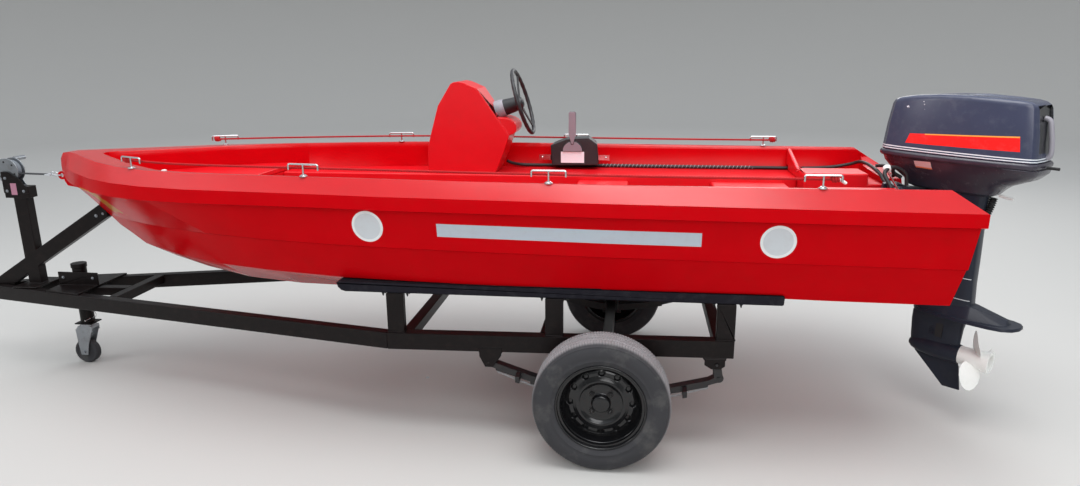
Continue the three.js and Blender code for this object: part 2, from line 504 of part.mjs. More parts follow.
const onShaft = (geometry) => geometry.translate(SHAFT.u, 0, SHAFT.v);
const motorLeg = () => {
  const leg = loft(LEG_RINGS.map((ring) => planRing(ring, ring.v)));
  const yoke = box(-110, -23, -34, 34, -385, SWIVEL.foot - 1);
  const plate = loft(rowObjects(PLATE_COLUMNS, PLATE_STATIONS).map(({ u, half, low }) => [[u, -half, low],
    [u, -half + 5, low + PLATE_THICKNESS], [u, half - 5, low + PLATE_THICKNESS], [u, half, low]]));
  const fairing = loft(rowObjects(FAIRING_COLUMNS, FAIRING_STATIONS).map(({ u, topV, topHalf, lowV, lowHalf }) => [
    [u, -lowHalf, lowV], [u, -topHalf, topV], [u, topHalf, topV], [u, lowHalf, lowV]]));
  const torpedo = onShaft(lathe(GEARCASE.map(([u, r]) => [r, -u]), 24).rotateZ(Math.PI / 2));
  return toMotor(join(leg, yoke, plate, fairing, extrudeXZ(SKEG, -5, 5), torpedo));
};
// One broad ear-shaped blade: radius, half chord, pitch angle, half thickness and sweep of each section.
const BLADE_COLUMNS = ['radius', 'half', 'pitch', 'thick', 'sweep'];
const BLADE_STATIONS = [[38, 44, 40, 5, 0], [62, 54, 36, 4.4, 2], [90, 60, 31, 3.6, 6], [116, 55, 27, 2.8, 10],
  [136, 38, 25, 2.2, 14], [147, 16, 24, 1.6, 16]];
const BLADE_TURNS = [135, 15, 255];
const propeller = () => {
  const hub = rodX(0, 0, PROP.hub, PROP.rear, PROP.front, 24);
  const flare = new THREE.CylinderGeometry(PROP.boss, PROP.hub, 50, 24).rotateZ(Math.PI / 2)
    .translate(PROP.rear + 25, 0, 0);
  const blades = BLADE_TURNS.map((turn) => {
    const blade = loft(rowObjects(BLADE_COLUMNS, BLADE_STATIONS).map(({ radius, half, pitch, thick, sweep }) => {
      const lean = THREE.MathUtils.degToRad(-pitch);
      const [sine, cosine] = [Math.sin(lean), Math.cos(lean)];
      const corner = (a, b) => [a * sine - b * cosine, a * cosine + b * sine + sweep, radius];
      return [corner(-half, 0), corner(0, -thick), corner(half, 0), corner(0, thick)];
    }));
    return blade.rotateX(-THREE.MathUtils.degToRad(turn)).translate(PROP.disc, 0, 0);
  });
  const bore = rodX(0, 0, PROP.bore, PROP.rear - 5, PROP.rear + 62, 24);
  const nut = rodX(0, 0, 14, PROP.rear + 18, PROP.rear + 64, 6);
  return toMotor(onShaft(join(cut(join(hub, flare, ...blades), bore), nut)));
};
const swivelBracket = () => {
  const tubeBody = rodZ(STEER_U, 0, SWIVEL.radius, SWIVEL.foot, SWIVEL.head, 20);
  const web = extrudeXZ([[STEER_U, 50], [-12, 34], [-12, -300], [STEER_U, -330]], -26, 26);
  const arm = extrudeXZ([[STEER_U, 12], [STEER_U, 55], [50, 56], [94, 72], [110, 74], [128, 66],
    [132, 52], [128, 38], [110, 31], [20, 12]], -46, 46);
  const body = toBracket(join(tubeBody, web, arm));
  return cut(body, rodY(TILT_PIN.x, TILT_PIN.z, 12.5, -60, 60, 20));
};
const clampBracket = () => {
  const outline = [[-1264, 1060], [-1258, 1030], [-1268, 1000], [-1292, 885], [-1309.6, 885], [-1309.6, 1000.4],
    [-1384.2, 1000.4], [-1365.4, 742], [-1388, 742], [-1406, 800], [-1408, 1000], [-1394, 1038], [-1330, 1066],
    [-1290, 1072]];
  const plates = SIDES.map(({ sign }) => {
    const span = [60 * sign, 92 * sign].sort((a, b) => a - b);
    return extrudeXZ(outline, span[0], span[1]);
  });
  const screws = SIDES.map(({ sign }) => join(rodX(76 * sign, 930, 9, -1300, -1215, 12), rodX(76 * sign, 930, 26, -1232, -1220, 12)));
  return join(...plates, ...screws, rodY(TILT_PIN.x, TILT_PIN.z, 12, -110, 110, 20));
};

// Frame members slope with the trailer.
const sloped = (geometry) => {
  const position = geometry.attributes.position;
  for (let i = 0; i < position.count; i += 1) position.setZ(i, position.getZ(i) + FRAME_SLOPE * position.getX(i));
  return geometry;
};
const FRAME_BOTTOM = FRAME_TOP - RAIL.depth;
const sideFrame = (sign) => {
  const span = (near, far) => [near * sign, far * sign].sort((a, b) => a - b);
  const [y0, y1] = span(RAIL.y - RAIL.width / 2, RAIL.y + RAIL.width / 2);
  const [p0, p1] = span(553.2, 589);
  const rail = box(RAIL.rear, RAIL.bend - 0.2, y0, y1, FRAME_BOTTOM, FRAME_TOP);
  const posts = POST_X.map((x) => {
    const centre = Math.min(x, RAIL.bend - 38);
    const top = BUNK.bottom - GAP - FRAME_SLOPE * (centre - 37.5);
    return box(centre - 37.5, centre + 37.5, p0, p1, FRAME_TOP - 2, top);
  });
  const [eyeX, eyeZ] = SPRING.frontEye;
  const lift = -FRAME_SLOPE * eyeX;
  const cheeks = [[550.5, 556.5], [599.5, 605.5]].map(([a, b]) => {
    const [c0, c1] = span(a, b);
    return extrudeXZ([[eyeX - 60, FRAME_BOTTOM + 20], [eyeX - 58, 402 + lift], [eyeX - 20, eyeZ - 16 + lift],
      [eyeX + 14, eyeZ - 16 + lift], [eyeX + 38, 396 + lift], [eyeX + 40, FRAME_BOTTOM + 20]], c0, c1);
  });
  const [pin0, pin1] = span(546, 610);
  const pin = rodY(eyeX, eyeZ + lift, 6, pin0, pin1, 14);
  const [hungX, hungZ] = SPRING.shackle;
  const drop = -FRAME_SLOPE * hungX;
  const [h0, h1] = span(544, 612);
  const hanger = [box(hungX - 38, hungX + 52, h0, h1, FRAME_BOTTOM - 6, FRAME_BOTTOM + 1),
    ...[[544, 549.7], [606.3, 612]].map(([a, b]) => {
      const [c0, c1] = span(a, b);
      return extrudeXZ([[hungX - 34, FRAME_BOTTOM - 2], [hungX - 34, 400 + drop], [hungX - 16, hungZ - 20 + drop],
        [hungX + 22, hungZ - 20 + drop], [hungX + 50, 404 + drop], [hungX + 50, FRAME_BOTTOM - 2]], c0, c1);
    })];
  const stub = rodY(...SPRING.shackle, 6.6, span(500, 650)[0], span(500, 650)[1], 14);
  return cut(sloped(join(rail, ...posts, ...cheeks, pin, ...hanger)), stub);
};
const drawbarRail = (sign) => {
  const from = [RAIL.bend, RAIL.y * sign, (FRAME_BOTTOM + FRAME_TOP) / 2];
  const to = [DRAWBAR.front, DRAWBAR.halfGap * sign, (FRAME_BOTTOM + FRAME_TOP) / 2];
  const raw = beam([from[0] - 60, from[1] + 13.2 * sign, from[2]], [to[0] + 60, to[1] - 13.2 * sign, to[2]], RAIL.width, RAIL.depth);
  const span = [GAP * sign, 700 * sign].sort((a, b) => a - b);
  return sloped(common(raw, box(RAIL.bend + 0.2, DRAWBAR.front, span[0], span[1], 300, 600)));
};
const railHalfAt = (x) => (x <= RAIL.bend ? RAIL.y : lerp(RAIL.y, DRAWBAR.halfGap, (x - RAIL.bend) / (DRAWBAR.front - RAIL.bend)));
const crossMember = (x) => {
  const ring = (at) => railHalfAt(at) - (x > RAIL.bend ? 25.7 : 25) - GAP;
  const [near, far] = [ring(x - 25), ring(x + 25)];
  return sloped(extrudeXY([[x - 25, -near], [x + 25, -far], [x + 25, far], [x - 25, near]], FRAME_TOP - 50, FRAME_TOP));
};
const centreBar = () => sloped(box(CENTRE_BAR.from, CENTRE_BAR.to, CENTRE_BAR.inner, CENTRE_BAR.outer, FRAME_TOP - 45, FRAME_TOP));
// Bunk: a padded beam with a round nose, its top trimmed to the hull that rests on it.
const bunkBody = (sign) => {
  const nose = Array.from({ length: 7 }, (_, i) => {
    const angle = -Math.PI / 2 + (i / 6) * Math.PI;
    return [BUNK.front + BUNK.nose * (Math.cos(angle) - 1), BUNK.bottom + BUNK.nose * (Math.sin(angle) + 1)];
  });
  const outline = [[BUNK.rear, BUNK.bottom], ...nose, [BUNK.rear, BUNK.bottom + 2 * BUNK.nose]];
  const span = [BUNK.inner * sign, BUNK.outer * sign].sort((a, b) => a - b);
  const lowered = hullOuter().translate(0, 0, -0.4);
  const cap = box(BUNK.rear - 5, BUNK.front + 5, span[0] - 1, span[1] + 1, BUNK.bottom - 5, BUNK.top);
  return common(cut(extrudeXZ(outline, span[0], span[1]), lowered), cap);
};

// Running gear.
const axle = () => {
  const bar = box(-AXLE.half, AXLE.half, -AXLE.end, AXLE.end, AXLE.z - AXLE.half, AXLE.z + AXLE.half);
  return join(bar, rodY(0, AXLE.z, 13, -722, 722, 20));
};
const leafSpring = (sign) => {
  const [x1, z1] = SPRING.frontEye;
  const [x0, z0] = SPRING.rearEye;
  const top = [[x1, z1 + 10], [464, 366], [313, 315], [180, 280], [60, 256.2], [-60, 256.2], [-180, 268], [-287, 289],
    [-440, 330], [x0, z0 + 8]];
  const low = [[x0, z0 - 22], [-440, 309], [-438, 300], [-288, 262], [-286, 253], [-160, 231], [-60, 218], [60, 218],
    [170, 236], [312, 277], [314, 287], [462, 332], [464, 341], [x1, z1 - 13]];
  const [y0, y1] = [(SPRING.y - SPRING.width / 2) * sign, (SPRING.y + SPRING.width / 2) * sign].sort((a, b) => a - b);
  const pack = extrudeXZ([...top, ...low], y0, y1);
  const eyes = [SPRING.frontEye, SPRING.rearEye].map(([x, z]) => rodY(x, z, 15, y0, y1, 18));
  const bores = [SPRING.frontEye, SPRING.rearEye].map(([x, z]) => rodY(x, z, 7, y0 - 9, y1 + 9, 14));
  const plate = box(-52, 52, y0 - 12, y1 + 12, 206, 219);
  const bolts = [-34, 34].flatMap((x) => {
    const [b0, b1] = [y0 - 7, y1 + 7];
    return [rodZ(x, b0, 5, 207, 313, 8), rodZ(x, b1, 5, 207, 313, 8), rodY(x, 312, 5, b0, b1, 8)];
  });
  return cut(join(pack, ...eyes, plate, ...bolts), ...bores);
};
const shackle = (sign) => {
  const [x1, z1] = SPRING.shackle;
  const [x0, z0] = SPRING.rearEye;
  const span = (a, b) => [a * sign, b * sign].sort((p, q) => p - q);
  const link = (a, b) => {
    const [y0, y1] = span(a, b);
    return join(extrudeXZ([[x1 - 18, z1], [x0 - 18, z0], [x0 + 18, z0], [x1 + 18, z1]], y0, y1),
      rodY(x1, z1, 18, y0, y1, 16), rodY(x0, z0, 20, y0, y1, 16));
  };
  const [p0, p1] = span(540, 616);
  const [q0, q1] = span(546, 610);
  return join(link(550.3, 556.3), link(599.7, 605.7), rodY(x1, z1, 6, p0, p1, 14), rodY(x0, z0, 6, q0, q1, 14));
};
const tyre = (sign) => {
  const [r, w, b] = [WHEEL.radius, WHEEL.halfWidth, WHEEL.rim];
  const profile = [[b, -62], [b + 10, -74], [230, -w], [262, -76], [276, -64], [r, -50], [r, 50], [276, 64],
    [262, 76], [230, w], [b + 10, 74], [b, 62], [b - 14, 62], [b - 14, -62], [b, -62]];
  return lathe(profile, 32).translate(0, WHEEL.y * sign, AXLE.z);
};
const rim = (sign) => {
  const b = WHEEL.rim - 14 - GAP;
  const dish = [[b, -62.5], [WHEEL.rim - 1, -62.5], [WHEEL.rim + 3, -70], [b - 6, -72], [b - 12, -30], [132, -20],
    [128, 10], [96, 16], [60, 6], [38, 4], [38, -84], [14, -84], [14, -8], [0, -8], [0, 36], [30, 36], [34, 16],
    [60, 16], [96, 27], [140, 20], [b - 4, -12], [b - 6, 72], [WHEEL.rim + 3, 70], [WHEEL.rim - 1, 62.5],
    [b, 62.5], [b, -62.5]];
  const body = lathe(dish.reverse(), 32);
  if (sign < 0) body.rotateX(Math.PI);
  return body.translate(0, WHEEL.y * sign, AXLE.z);
};

// Winch stand, winch and strap.
const frameTopAt = (x) => FRAME_TOP + FRAME_SLOPE * x;
const winchStand = () => {
  const base = sloped(box(3060, 3205, -98, 98, FRAME_TOP + GAP, FRAME_TOP + 9));
  const post = box(WINCH_POST.rear, WINCH_POST.front, -WINCH_POST.half, WINCH_POST.half, frameTopAt(3120) + 4, WINCH_POST.top);
  const { rear, front, half } = WINCH_HEAD;
  const head = box(rear, front, -half, half, WINCH_HEAD.base, WINCH_HEAD.top);
  const cheek = extrudeXZ([[rear, 960], [rear + 8, 996], [rear + 34, 1034], [front - 40, 1074], [front, 1074], [front, 960]],
    half - 0.5, half + 4.5);
  const arm = beam(WINCH_ARM.foot, WINCH_ARM.tip, WINCH_ARM.width, WINCH_ARM.depth);
  const clipped = cut(arm, sloped(box(3000, 3600, -200, 200, 300, FRAME_TOP + GAP)),
    hullOuter().translate(0, 0, -GAP), hullOuter().translate(GAP, 0, 0), box(2500, 2637, -60, 60, 700, 1000));
  return join(base, post, head, cheek, clipped);
};
const winch = () => {
  const { x, z, flange, core, half } = WINCH_DRUM;
  const plates = SIDES.map(({ sign }) => {
    const [y0, y1] = [(half - 3) * sign, half * sign].sort((a, b) => a - b);
    const foot = extrudeXZ([[x - 62, WINCH_HEAD.top + GAP], [x - 40, 1040], [x + 40, 1040], [x + 28, WINCH_HEAD.top + GAP]], y0, y1);
    return join(rodY(x, z, flange, y0, y1, 28), foot);
  });
  const base = box(x - 62, x + 28, -half, half, WINCH_HEAD.top + GAP, WINCH_HEAD.top + 5);
  const shaft = rodY(x, z, 9, -88, half, 12);
  const crank = join(beam([x, -84, z], [x + 40, -84, z + 50], 8, 20), rodY(x + 40, z + 50, 12, -150, -80, 14));
  return join(...plates, base, rodY(x, z, core, -half, half, 24), shaft, crank);
};
const winchStrap = () => {
  const { x, z } = BOW_EYE;
  const band = beam([3150.5, 0, 1063], [x + 70, 0, z + 3], 36, 3.2);
  const hook = tube([[x + 74, 0, z + 3], [x + 52, 5, z + 3], [x + 34, 13, z + 2], [x + 19, 14, z + 1], [x + 9.2, 7.5, z],
    [x + 8.8, 0, z], [x + 10.5, -8, z], [x + 18, -13, z]], 4, 6, 20);
  return join(band, box(x + 60, x + 78, -19, 19, z - 1.5, z + 7), hook);
};

// Jockey wheel, coupler.
const jockeyLeg = () => {
  const legTube = rodZ(JOCKEY.x, 0, JOCKEY.radius, JOCKEY.foot, JOCKEY.top, 24);
  const cap = rodZ(JOCKEY.x, 0, JOCKEY.radius + 4, JOCKEY.top - 22, JOCKEY.top, 24);
  const plate = box(JOCKEY.x - 50, JOCKEY.x + 50, -42, 42, JOCKEY.foot - 2, JOCKEY.foot + 5);
  return join(legTube, cap, plate);
};
const jockeyMount = () => {
  const reach = (x) => railHalfAt(x) + 20;
  const plan = [[2740, -reach(2740)], [2966, -reach(2966)], [2966, reach(2966)], [2740, reach(2740)]];
  const plate = sloped(extrudeXY(plan, FRAME_TOP + GAP, FRAME_TOP + 9));
  const upright = box(2735, 2967, JOCKEY.radius + 1, JOCKEY.radius + 8, frameTopAt(2850) + 5, 535);
  return cut(join(plate, upright), rodZ(JOCKEY.x, 0, JOCKEY.radius + 0.4, 300, 545, 24));
};
const casterFork = () => {
  const head = rodZ(JOCKEY.x, 0, 40, JOCKEY.foot - 16, JOCKEY.foot - 2.4, 24);
  const top = extrudeXZ([[2832, 220], [2912, 220], [2930, 196], [2930, 188], [2832, 188]], -31, 31);
  const cheeks = SIDES.map(({ sign }) => {
    const [y0, y1] = [26 * sign, 31 * sign].sort((a, b) => a - b);
    return extrudeXZ([[2834, 200], [2930, 200], [2926, 120], [CASTER.x + 20, 52], [CASTER.x - 20, 52], [2866, 110]], y0, y1);
  });
  return join(cut(top, box(2800, 2960, -26, 26, 150, 206)), head, ...cheeks, rodY(CASTER.x, CASTER.z, 7, -38, 38, 12));
};
const casterWheel = () => {
  const [r, w] = [CASTER.radius, CASTER.width / 2];
  return lathe([[8, -w - 3], [20, -w - 3], [22, -w + 3], [r - 18, -w + 3], [r - 16, -w], [r - 6, -w], [r, -w + 7], [r, w - 7],
    [r - 6, w], [r - 16, w], [r - 18, w - 3], [22, w - 3], [20, w + 3], [8, w + 3], [8, -w - 3]], 24).translate(CASTER.x, 0, CASTER.z);
};
const coupler = () => {
  const tubeBody = extrudeXZ([[COUPLER.rear, FRAME_BOTTOM + 4], [COUPLER.rear, FRAME_TOP - 2], [3560, FRAME_TOP - 6],
    [3640, FRAME_TOP - 14], [3640, FRAME_TOP - 62], [3560, FRAME_BOTTOM + 4]], -34, 34);
  const head = rodZ(COUPLER.ball, 0, 50, FRAME_TOP - 64, FRAME_TOP - 12, 28);
  const neck = box(3600, COUPLER.ball, -38, 38, FRAME_TOP - 60, FRAME_TOP - 16);
  const socket = rodZ(COUPLER.ball, 0, 26, FRAME_TOP - 80, FRAME_TOP - 30, 24);
  const lever = extrudeXZ([[3560, FRAME_TOP - 8], [3690, FRAME_TOP - 14], [3600, FRAME_TOP + 34], [3540, FRAME_TOP + 30]], -7, 7);
  return sloped(join(cut(join(tubeBody, neck, head), socket), lever));
};

const pieces = [
  ['hull', hullShell(), FINISH.redShell],
  ...cockpitPieces(),
  ['console', consoleBody(), FINISH.redInside],
  ['steering_wheel', steeringWheel(), FINISH.darkPlastic],
  ['remote_box', remoteBox(), FINISH.darkPlastic],
  ['control_cables', cables(), FINISH.cableBlack],
  ...handlesAndRopes(),
  ['bow_eye', bowEye(), FINISH.redShell],
  ['clamp_bracket', clampBracket(), FINISH.legBlue],
  ['swivel_bracket', swivelBracket(), FINISH.legBlue],
  ['top_cowl', topCowl(), FINISH.cowlBlue],
  ['lower_cowl', lowerCowl(), FINISH.cowlDark],
  ['motor_leg', motorLeg(), FINISH.legBlue],
  ['propeller', propeller(), FINISH.propWhite],
  ...SIDES.flatMap(({ name, sign }) => [
    [`side_frame_${name}`, sideFrame(sign), FINISH.frameBlack],
    [`drawbar_rail_${name}`, drawbarRail(sign), FINISH.frameBlack],
    [`bunk_${name}`, bunkBody(sign), FINISH.carpet],
    [`leaf_spring_${name}`, leafSpring(sign), FINISH.zinc],
    [`shackle_${name}`, shackle(sign), FINISH.zinc],
    [`tyre_${name}`, tyre(sign), FINISH.tyreRubber],
    [`rim_${name}`, rim(sign), FINISH.wheelBlack],
  ]),
  ...CROSS_MEMBERS.map(({ name, x }) => [name, crossMember(x), FINISH.frameBlack]),
  ['centre_bar', centreBar(), FINISH.frameBlack],
  ['axle', axle(), FINISH.frameBlack],
  ['winch_stand', winchStand(), FINISH.frameBlack],
  ['winch', winch(), FINISH.zinc],
  ['winch_strap', winchStrap(), FINISH.strapGrey],
  ['jockey_mount', jockeyMount(), FINISH.frameBlack],
  ['jockey_leg', jockeyLeg(), FINISH.frameBlack],
  ['caster_fork', casterFork(), FINISH.zinc],
  ['caster_wheel', casterWheel(), FINISH.tyreRubber],
  ['coupler', coupler(), FINISH.zinc],
];

const boat = new THREE.Group();
boat.name = 'inshore_rescue_boat_on_trailer';
pieces.forEach(([name, geometry, finish]) => {
  geometry.translate(FRAME_SHIFT, 0, 0);
  const mesh = new THREE.Mesh(geometry, new THREE.MeshStandardMaterial(finish));
  mesh.name = name;
  boat.add(mesh);
});

export default boat;
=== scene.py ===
# %% [markdown]
# An inshore rescue boat on its road trailer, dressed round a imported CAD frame.
# The frame carries the true sizes, so everything here is in metres in that frame:
# +X points to the bow, +Y to port, +Z up, and the floor is Z = 0. What never moves rides on FIXED.

# %% Load the frame
import json
import math
import bmesh
import bpy
import numpy as np
from mathutils import Matrix, Vector

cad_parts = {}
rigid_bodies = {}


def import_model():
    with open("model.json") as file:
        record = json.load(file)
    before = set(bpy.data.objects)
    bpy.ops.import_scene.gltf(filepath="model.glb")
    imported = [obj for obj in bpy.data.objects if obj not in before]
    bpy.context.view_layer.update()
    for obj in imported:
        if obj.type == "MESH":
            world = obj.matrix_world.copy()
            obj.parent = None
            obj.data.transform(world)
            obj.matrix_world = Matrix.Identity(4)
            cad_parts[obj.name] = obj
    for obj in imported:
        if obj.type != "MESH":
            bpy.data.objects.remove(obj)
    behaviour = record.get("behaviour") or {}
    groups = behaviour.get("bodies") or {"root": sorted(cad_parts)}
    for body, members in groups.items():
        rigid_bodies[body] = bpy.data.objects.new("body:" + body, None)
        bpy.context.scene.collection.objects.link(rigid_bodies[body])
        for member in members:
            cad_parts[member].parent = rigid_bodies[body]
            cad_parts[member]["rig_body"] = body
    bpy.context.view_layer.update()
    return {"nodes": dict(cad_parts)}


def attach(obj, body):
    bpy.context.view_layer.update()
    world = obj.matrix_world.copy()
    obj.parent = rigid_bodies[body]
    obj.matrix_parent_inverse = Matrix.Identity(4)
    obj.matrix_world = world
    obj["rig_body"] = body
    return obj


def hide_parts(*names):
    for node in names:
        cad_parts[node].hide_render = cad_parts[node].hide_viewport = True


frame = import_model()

MM = 0.001
AXLE_X = -0.9494
SIDES = {"port": 1.0, "starboard": -1.0}
FIXED = "boat_and_trailer"

# %% [markdown]
# The camera stands where the photographer stood. Its place and turn were worked out from
# the trailer's straight lines and the round wheel, so the boat keeps the same perspective.

# %% Camera
EYE = Vector((-1.062, 3.5117, 1.6578))
SWING, DIP, ROLL = 0.1290185, 0.2507424, 0.0074672
FOCAL_PIXELS, IMAGE_WIDTH = 739.53, 1080


def aim(swing, dip, roll):
    """Turns a swing from -Y towards +X, a dip below the horizon and a roll into camera axes."""
    ahead = Vector((math.sin(swing) * math.cos(dip), -math.cos(swing) * math.cos(dip), -math.sin(dip)))
    right = ahead.cross(Vector((0, 0, 1))).normalized()
    down = ahead.cross(right)
    across = math.cos(roll) * right + math.sin(roll) * down
    below = -math.sin(roll) * right + math.cos(roll) * down
    return Matrix((across, -below, -ahead)).transposed()


camera_data = bpy.data.cameras.new("camera")
camera_data.sensor_width = 36
camera_data.lens = FOCAL_PIXELS / IMAGE_WIDTH * camera_data.sensor_width
camera = bpy.data.objects.new("camera", camera_data)
camera.matrix_world = Matrix.Translation(EYE) @ aim(SWING, DIP, ROLL).to_4x4()
bpy.context.scene.collection.objects.link(camera)
bpy.context.scene.camera = camera
print("lens:", round(camera_data.lens, 2), "mm")

# %% [markdown]
# Measures below are in millimetres from the trailer's axle, as a boat builder would tape them.
# The motor has a frame of its own, turned to port about its steering axis as it was parked: u runs
# forward out of the cowl, v up the steering axis, and y to the motor's own port side.

# %% Places
PIVOT = np.array([-1400.0, 0.0, 1000.0])
LEAN, TURN, STEER_U = math.radians(2), math.radians(41), -55
BRACKET_U = np.array([math.cos(LEAN), 0, math.sin(LEAN)])
STEER_AXIS = PIVOT + STEER_U * BRACKET_U
MOTOR_U = math.cos(TURN) * BRACKET_U - math.sin(TURN) * np.array([0.0, 1.0, 0.0])
MOTOR_Y = math.sin(TURN) * BRACKET_U + math.cos(TURN) * np.array([0.0, 1.0, 0.0])
MOTOR_V = np.array([-math.sin(LEAN), 0, math.cos(LEAN)])
FRAME_SLOPE = -0.0155


def taped(points):
    """Millimetres from the axle as metres in the frame."""
    return np.asarray(points, float) * MM + np.array([AXLE_X, 0, 0])


def on_motor(u, y, v):
    """Motor measures as metres: from the steering axis, u forward, y to the motor's port and v up."""
    u, y, v = (np.asarray(part, float)[..., None] for part in np.broadcast_arrays(u, y, v))
    return taped(STEER_AXIS + (u - STEER_U) * MOTOR_U + y * MOTOR_Y + v * MOTOR_V)


def frame_top(x):
    """Height of the trailer frame's top face, which falls slightly towards the coupler."""
    return 500 + FRAME_SLOPE * x


# %% [markdown]
# Nearly every small fitting on a boat is rod, a turned part or plate. So three shapes are enough,
# each worked out on whole arrays: a sweep is a tube along a path, a spin is a profile turned about
# an axis, and a slab is a flat outline with thickness. Each returns points and faces. Blender's own
# curves could do the same, but a formula gives the same mesh each time and is easy to measure.

# %% Tubes
X_AXIS, Y_AXIS, Z_AXIS = np.eye(3)


def unit(vector):
    """The vector divided by its length."""
    vector = np.asarray(vector, float)
    return vector / np.linalg.norm(vector, axis=-1, keepdims=True)


def grid_faces(rows, columns, close_rows=False, close_columns=False):
    """Quads over a grid of points numbered row by row, closed into a ring where asked."""
    r = np.arange(rows if close_rows else rows - 1)[:, None]
    c = np.arange(columns if close_columns else columns - 1)[None, :]
    r2, c2 = (r + 1) % rows, (c + 1) % columns
    quads = [r * columns + c, r * columns + c2, r2 * columns + c2, r2 * columns + c]
    return np.stack(np.broadcast_arrays(*quads), -1).reshape(-1, 4).tolist()


def sweep(path, radius, sides=10, closed=False):
    """A tube: each ring is radius times cos and sin of an angle along two axes square to the path."""
    path = np.asarray(path, float)
    if closed:
        ahead = unit(np.roll(path, -1, 0) - np.roll(path, 1, 0))
    else:
        ahead = unit(np.gradient(path, axis=0))
    helper = np.eye(3)[np.argmin(np.abs(ahead).max(0))]
    across = unit(np.cross(ahead, helper))
    up = np.cross(across, ahead)
    angle = np.linspace(0, 2 * math.pi, sides, endpoint=False)[None, :, None]
    reach = np.broadcast_to(np.asarray(radius, float), len(path))[:, None, None]
    rings = path[:, None] + reach * (np.cos(angle) * across[:, None] + np.sin(angle) * up[:, None])
    faces = grid_faces(len(path), sides, close_rows=closed, close_columns=True)
    if not closed:
        last = (len(path) - 1) * sides
        faces += [list(range(sides)), list(range(last, last + sides))]
    return rings.reshape(-1, 3), faces


print("a bare tube:", len(sweep([(0, 0, 0), (1, 0, 0)], 0.01)[0]), "points")

# %% [markdown]
# A hub, a tyre or a knob is turned, and a bracket is cut from plate. A turned part can be carved
# while it is made: a depth function moves its points before they are placed, which is how the tread
# and the wheels' vents are cut.

# %% Turned parts and plates


def spin(profile, centre, axis, sides=32, closed=False, depth=None):
    """A turned shape: centre + along * axis + radius * (cos, sin) of the angle, less any carved depth."""
    profile = np.asarray(profile, float)
    axis = unit(axis)
    helper = Z_AXIS if abs(axis[2]) < 0.9 else X_AXIS
    first = unit(np.cross(axis, helper))
    second = np.cross(axis, first)
    angle = np.linspace(0, 2 * math.pi, sides, endpoint=False)[None, :]
    radius = np.maximum(profile[:, :1], 1e-5) * np.ones_like(angle)
    along = profile[:, 1:] * np.ones_like(angle)
    if depth is not None:
        radius, along = depth(radius, along, angle)
    ring = np.cos(angle)[..., None] * first + np.sin(angle)[..., None] * second
    points = np.asarray(centre) + along[..., None] * axis + radius[..., None] * ring
    faces = grid_faces(len(profile), sides, close_rows=closed, close_columns=True)
    if not closed:
        last = (len(profile) - 1) * sides
        faces += [list(range(sides)), list(range(last, last + sides))]
    return points.reshape(-1, 3), faces


def slab(outline, origin, across, up, depth):
    """A flat outline given along two directions, thickened by a depth towards their cross product."""
    outline = np.asarray(outline, float)
    across, up = unit(across), unit(up)
    front = np.asarray(origin) + outline[:, :1] * across + outline[:, 1:] * up
    back = front - depth * np.cross(across, up)
    count = len(outline)
    sides = grid_faces(2, count, close_columns=True)
    return np.concatenate([front, back]), sides + [list(range(count)), list(range(count, 2 * count))]


def joined(parts):
    """Many small shapes as one: points stacked, face numbers moved up to match."""
    points, faces, start = [], [], 0
    for some_points, some_faces in parts:
        points.append(np.asarray(some_points))
        faces += [[number + start for number in face] for face in some_faces]
        start += len(some_points)
    return np.concatenate(points), faces


square = [(0, 0), (1, 0), (1, 1), (0, 1)]
print("a bare plate:", len(slab(square, (0, 0, 0), X_AXIS, Z_AXIS, 0.1)[1]), "faces")

# %% [markdown]
# Rod, hose and rope follow paths. Bent rod is straight with short bends, so its path has corners
# that are rounded off. Hose and cable bend all along, so theirs is a smooth curve through stops.
# Strands and wraps wind round such a path as a helix, whose pitch is measured on the real one.

# %% Paths


def round_path(corners, radius, steps=6):
    """A path through corners, each replaced by a short curve that starts a radius before it."""
    corners = np.asarray(corners, float)
    t = np.linspace(0, 1, steps)[:, None]
    path = [corners[:1]]
    for before, corner, after in zip(corners[:-2], corners[1:-1], corners[2:]):
        start = corner + unit(before - corner) * min(radius, np.linalg.norm(before - corner) * 0.49)
        end = corner + unit(after - corner) * min(radius, np.linalg.norm(after - corner) * 0.49)
        path.append((1 - t) ** 2 * start + 2 * t * (1 - t) * corner + t ** 2 * end)
    return np.concatenate(path + [corners[-1:]])


def smooth_path(stops, spacing):
    """A curve through given stops, with cubic pieces whose slopes come from the neighbours."""
    stops = np.asarray(stops, float)
    slope = np.gradient(stops, axis=0)
    counts = np.maximum((np.linalg.norm(np.diff(stops, axis=0), axis=1) / spacing).astype(int), 2)
    pieces = []
    for a, b, da, db, count in zip(stops[:-1], stops[1:], slope[:-1], slope[1:], counts):
        t = np.linspace(0, 1, count, endpoint=False)[:, None]
        pieces.append((1 + 2 * t) * (1 - t) ** 2 * a + t * (1 - t) ** 2 * da
                      + t ** 2 * (3 - 2 * t) * b + t ** 2 * (t - 1) * db)
    return np.concatenate(pieces + [stops[-1:]])


def twist_round(path, lay, pitch, phase):
    """A helix round a path: lay is its radius and pitch the length of one turn, in metres."""
    length = np.concatenate([[0], np.cumsum(np.linalg.norm(np.diff(path, axis=0), axis=1))])
    fine = np.arange(0, length[-1], pitch / 9)
    middle = np.stack([np.interp(fine, length, path[:, i]) for i in range(3)], -1)
    ahead = unit(np.gradient(middle, axis=0))
    across = unit(np.cross(ahead, np.eye(3)[np.argmin(np.abs(ahead).max(0))]))
    up = np.cross(across, ahead)
    angle = (fine / pitch * 2 * math.pi + phase)[:, None]
    return middle + lay * (np.cos(angle) * across + np.sin(angle) * up)


# %% [markdown]
# Bolts hold most of what shows. One head is a washer, a hexagon and the rounded end of its stud:
# three turned profiles, given as shares of its width and height, so one table serves every size.

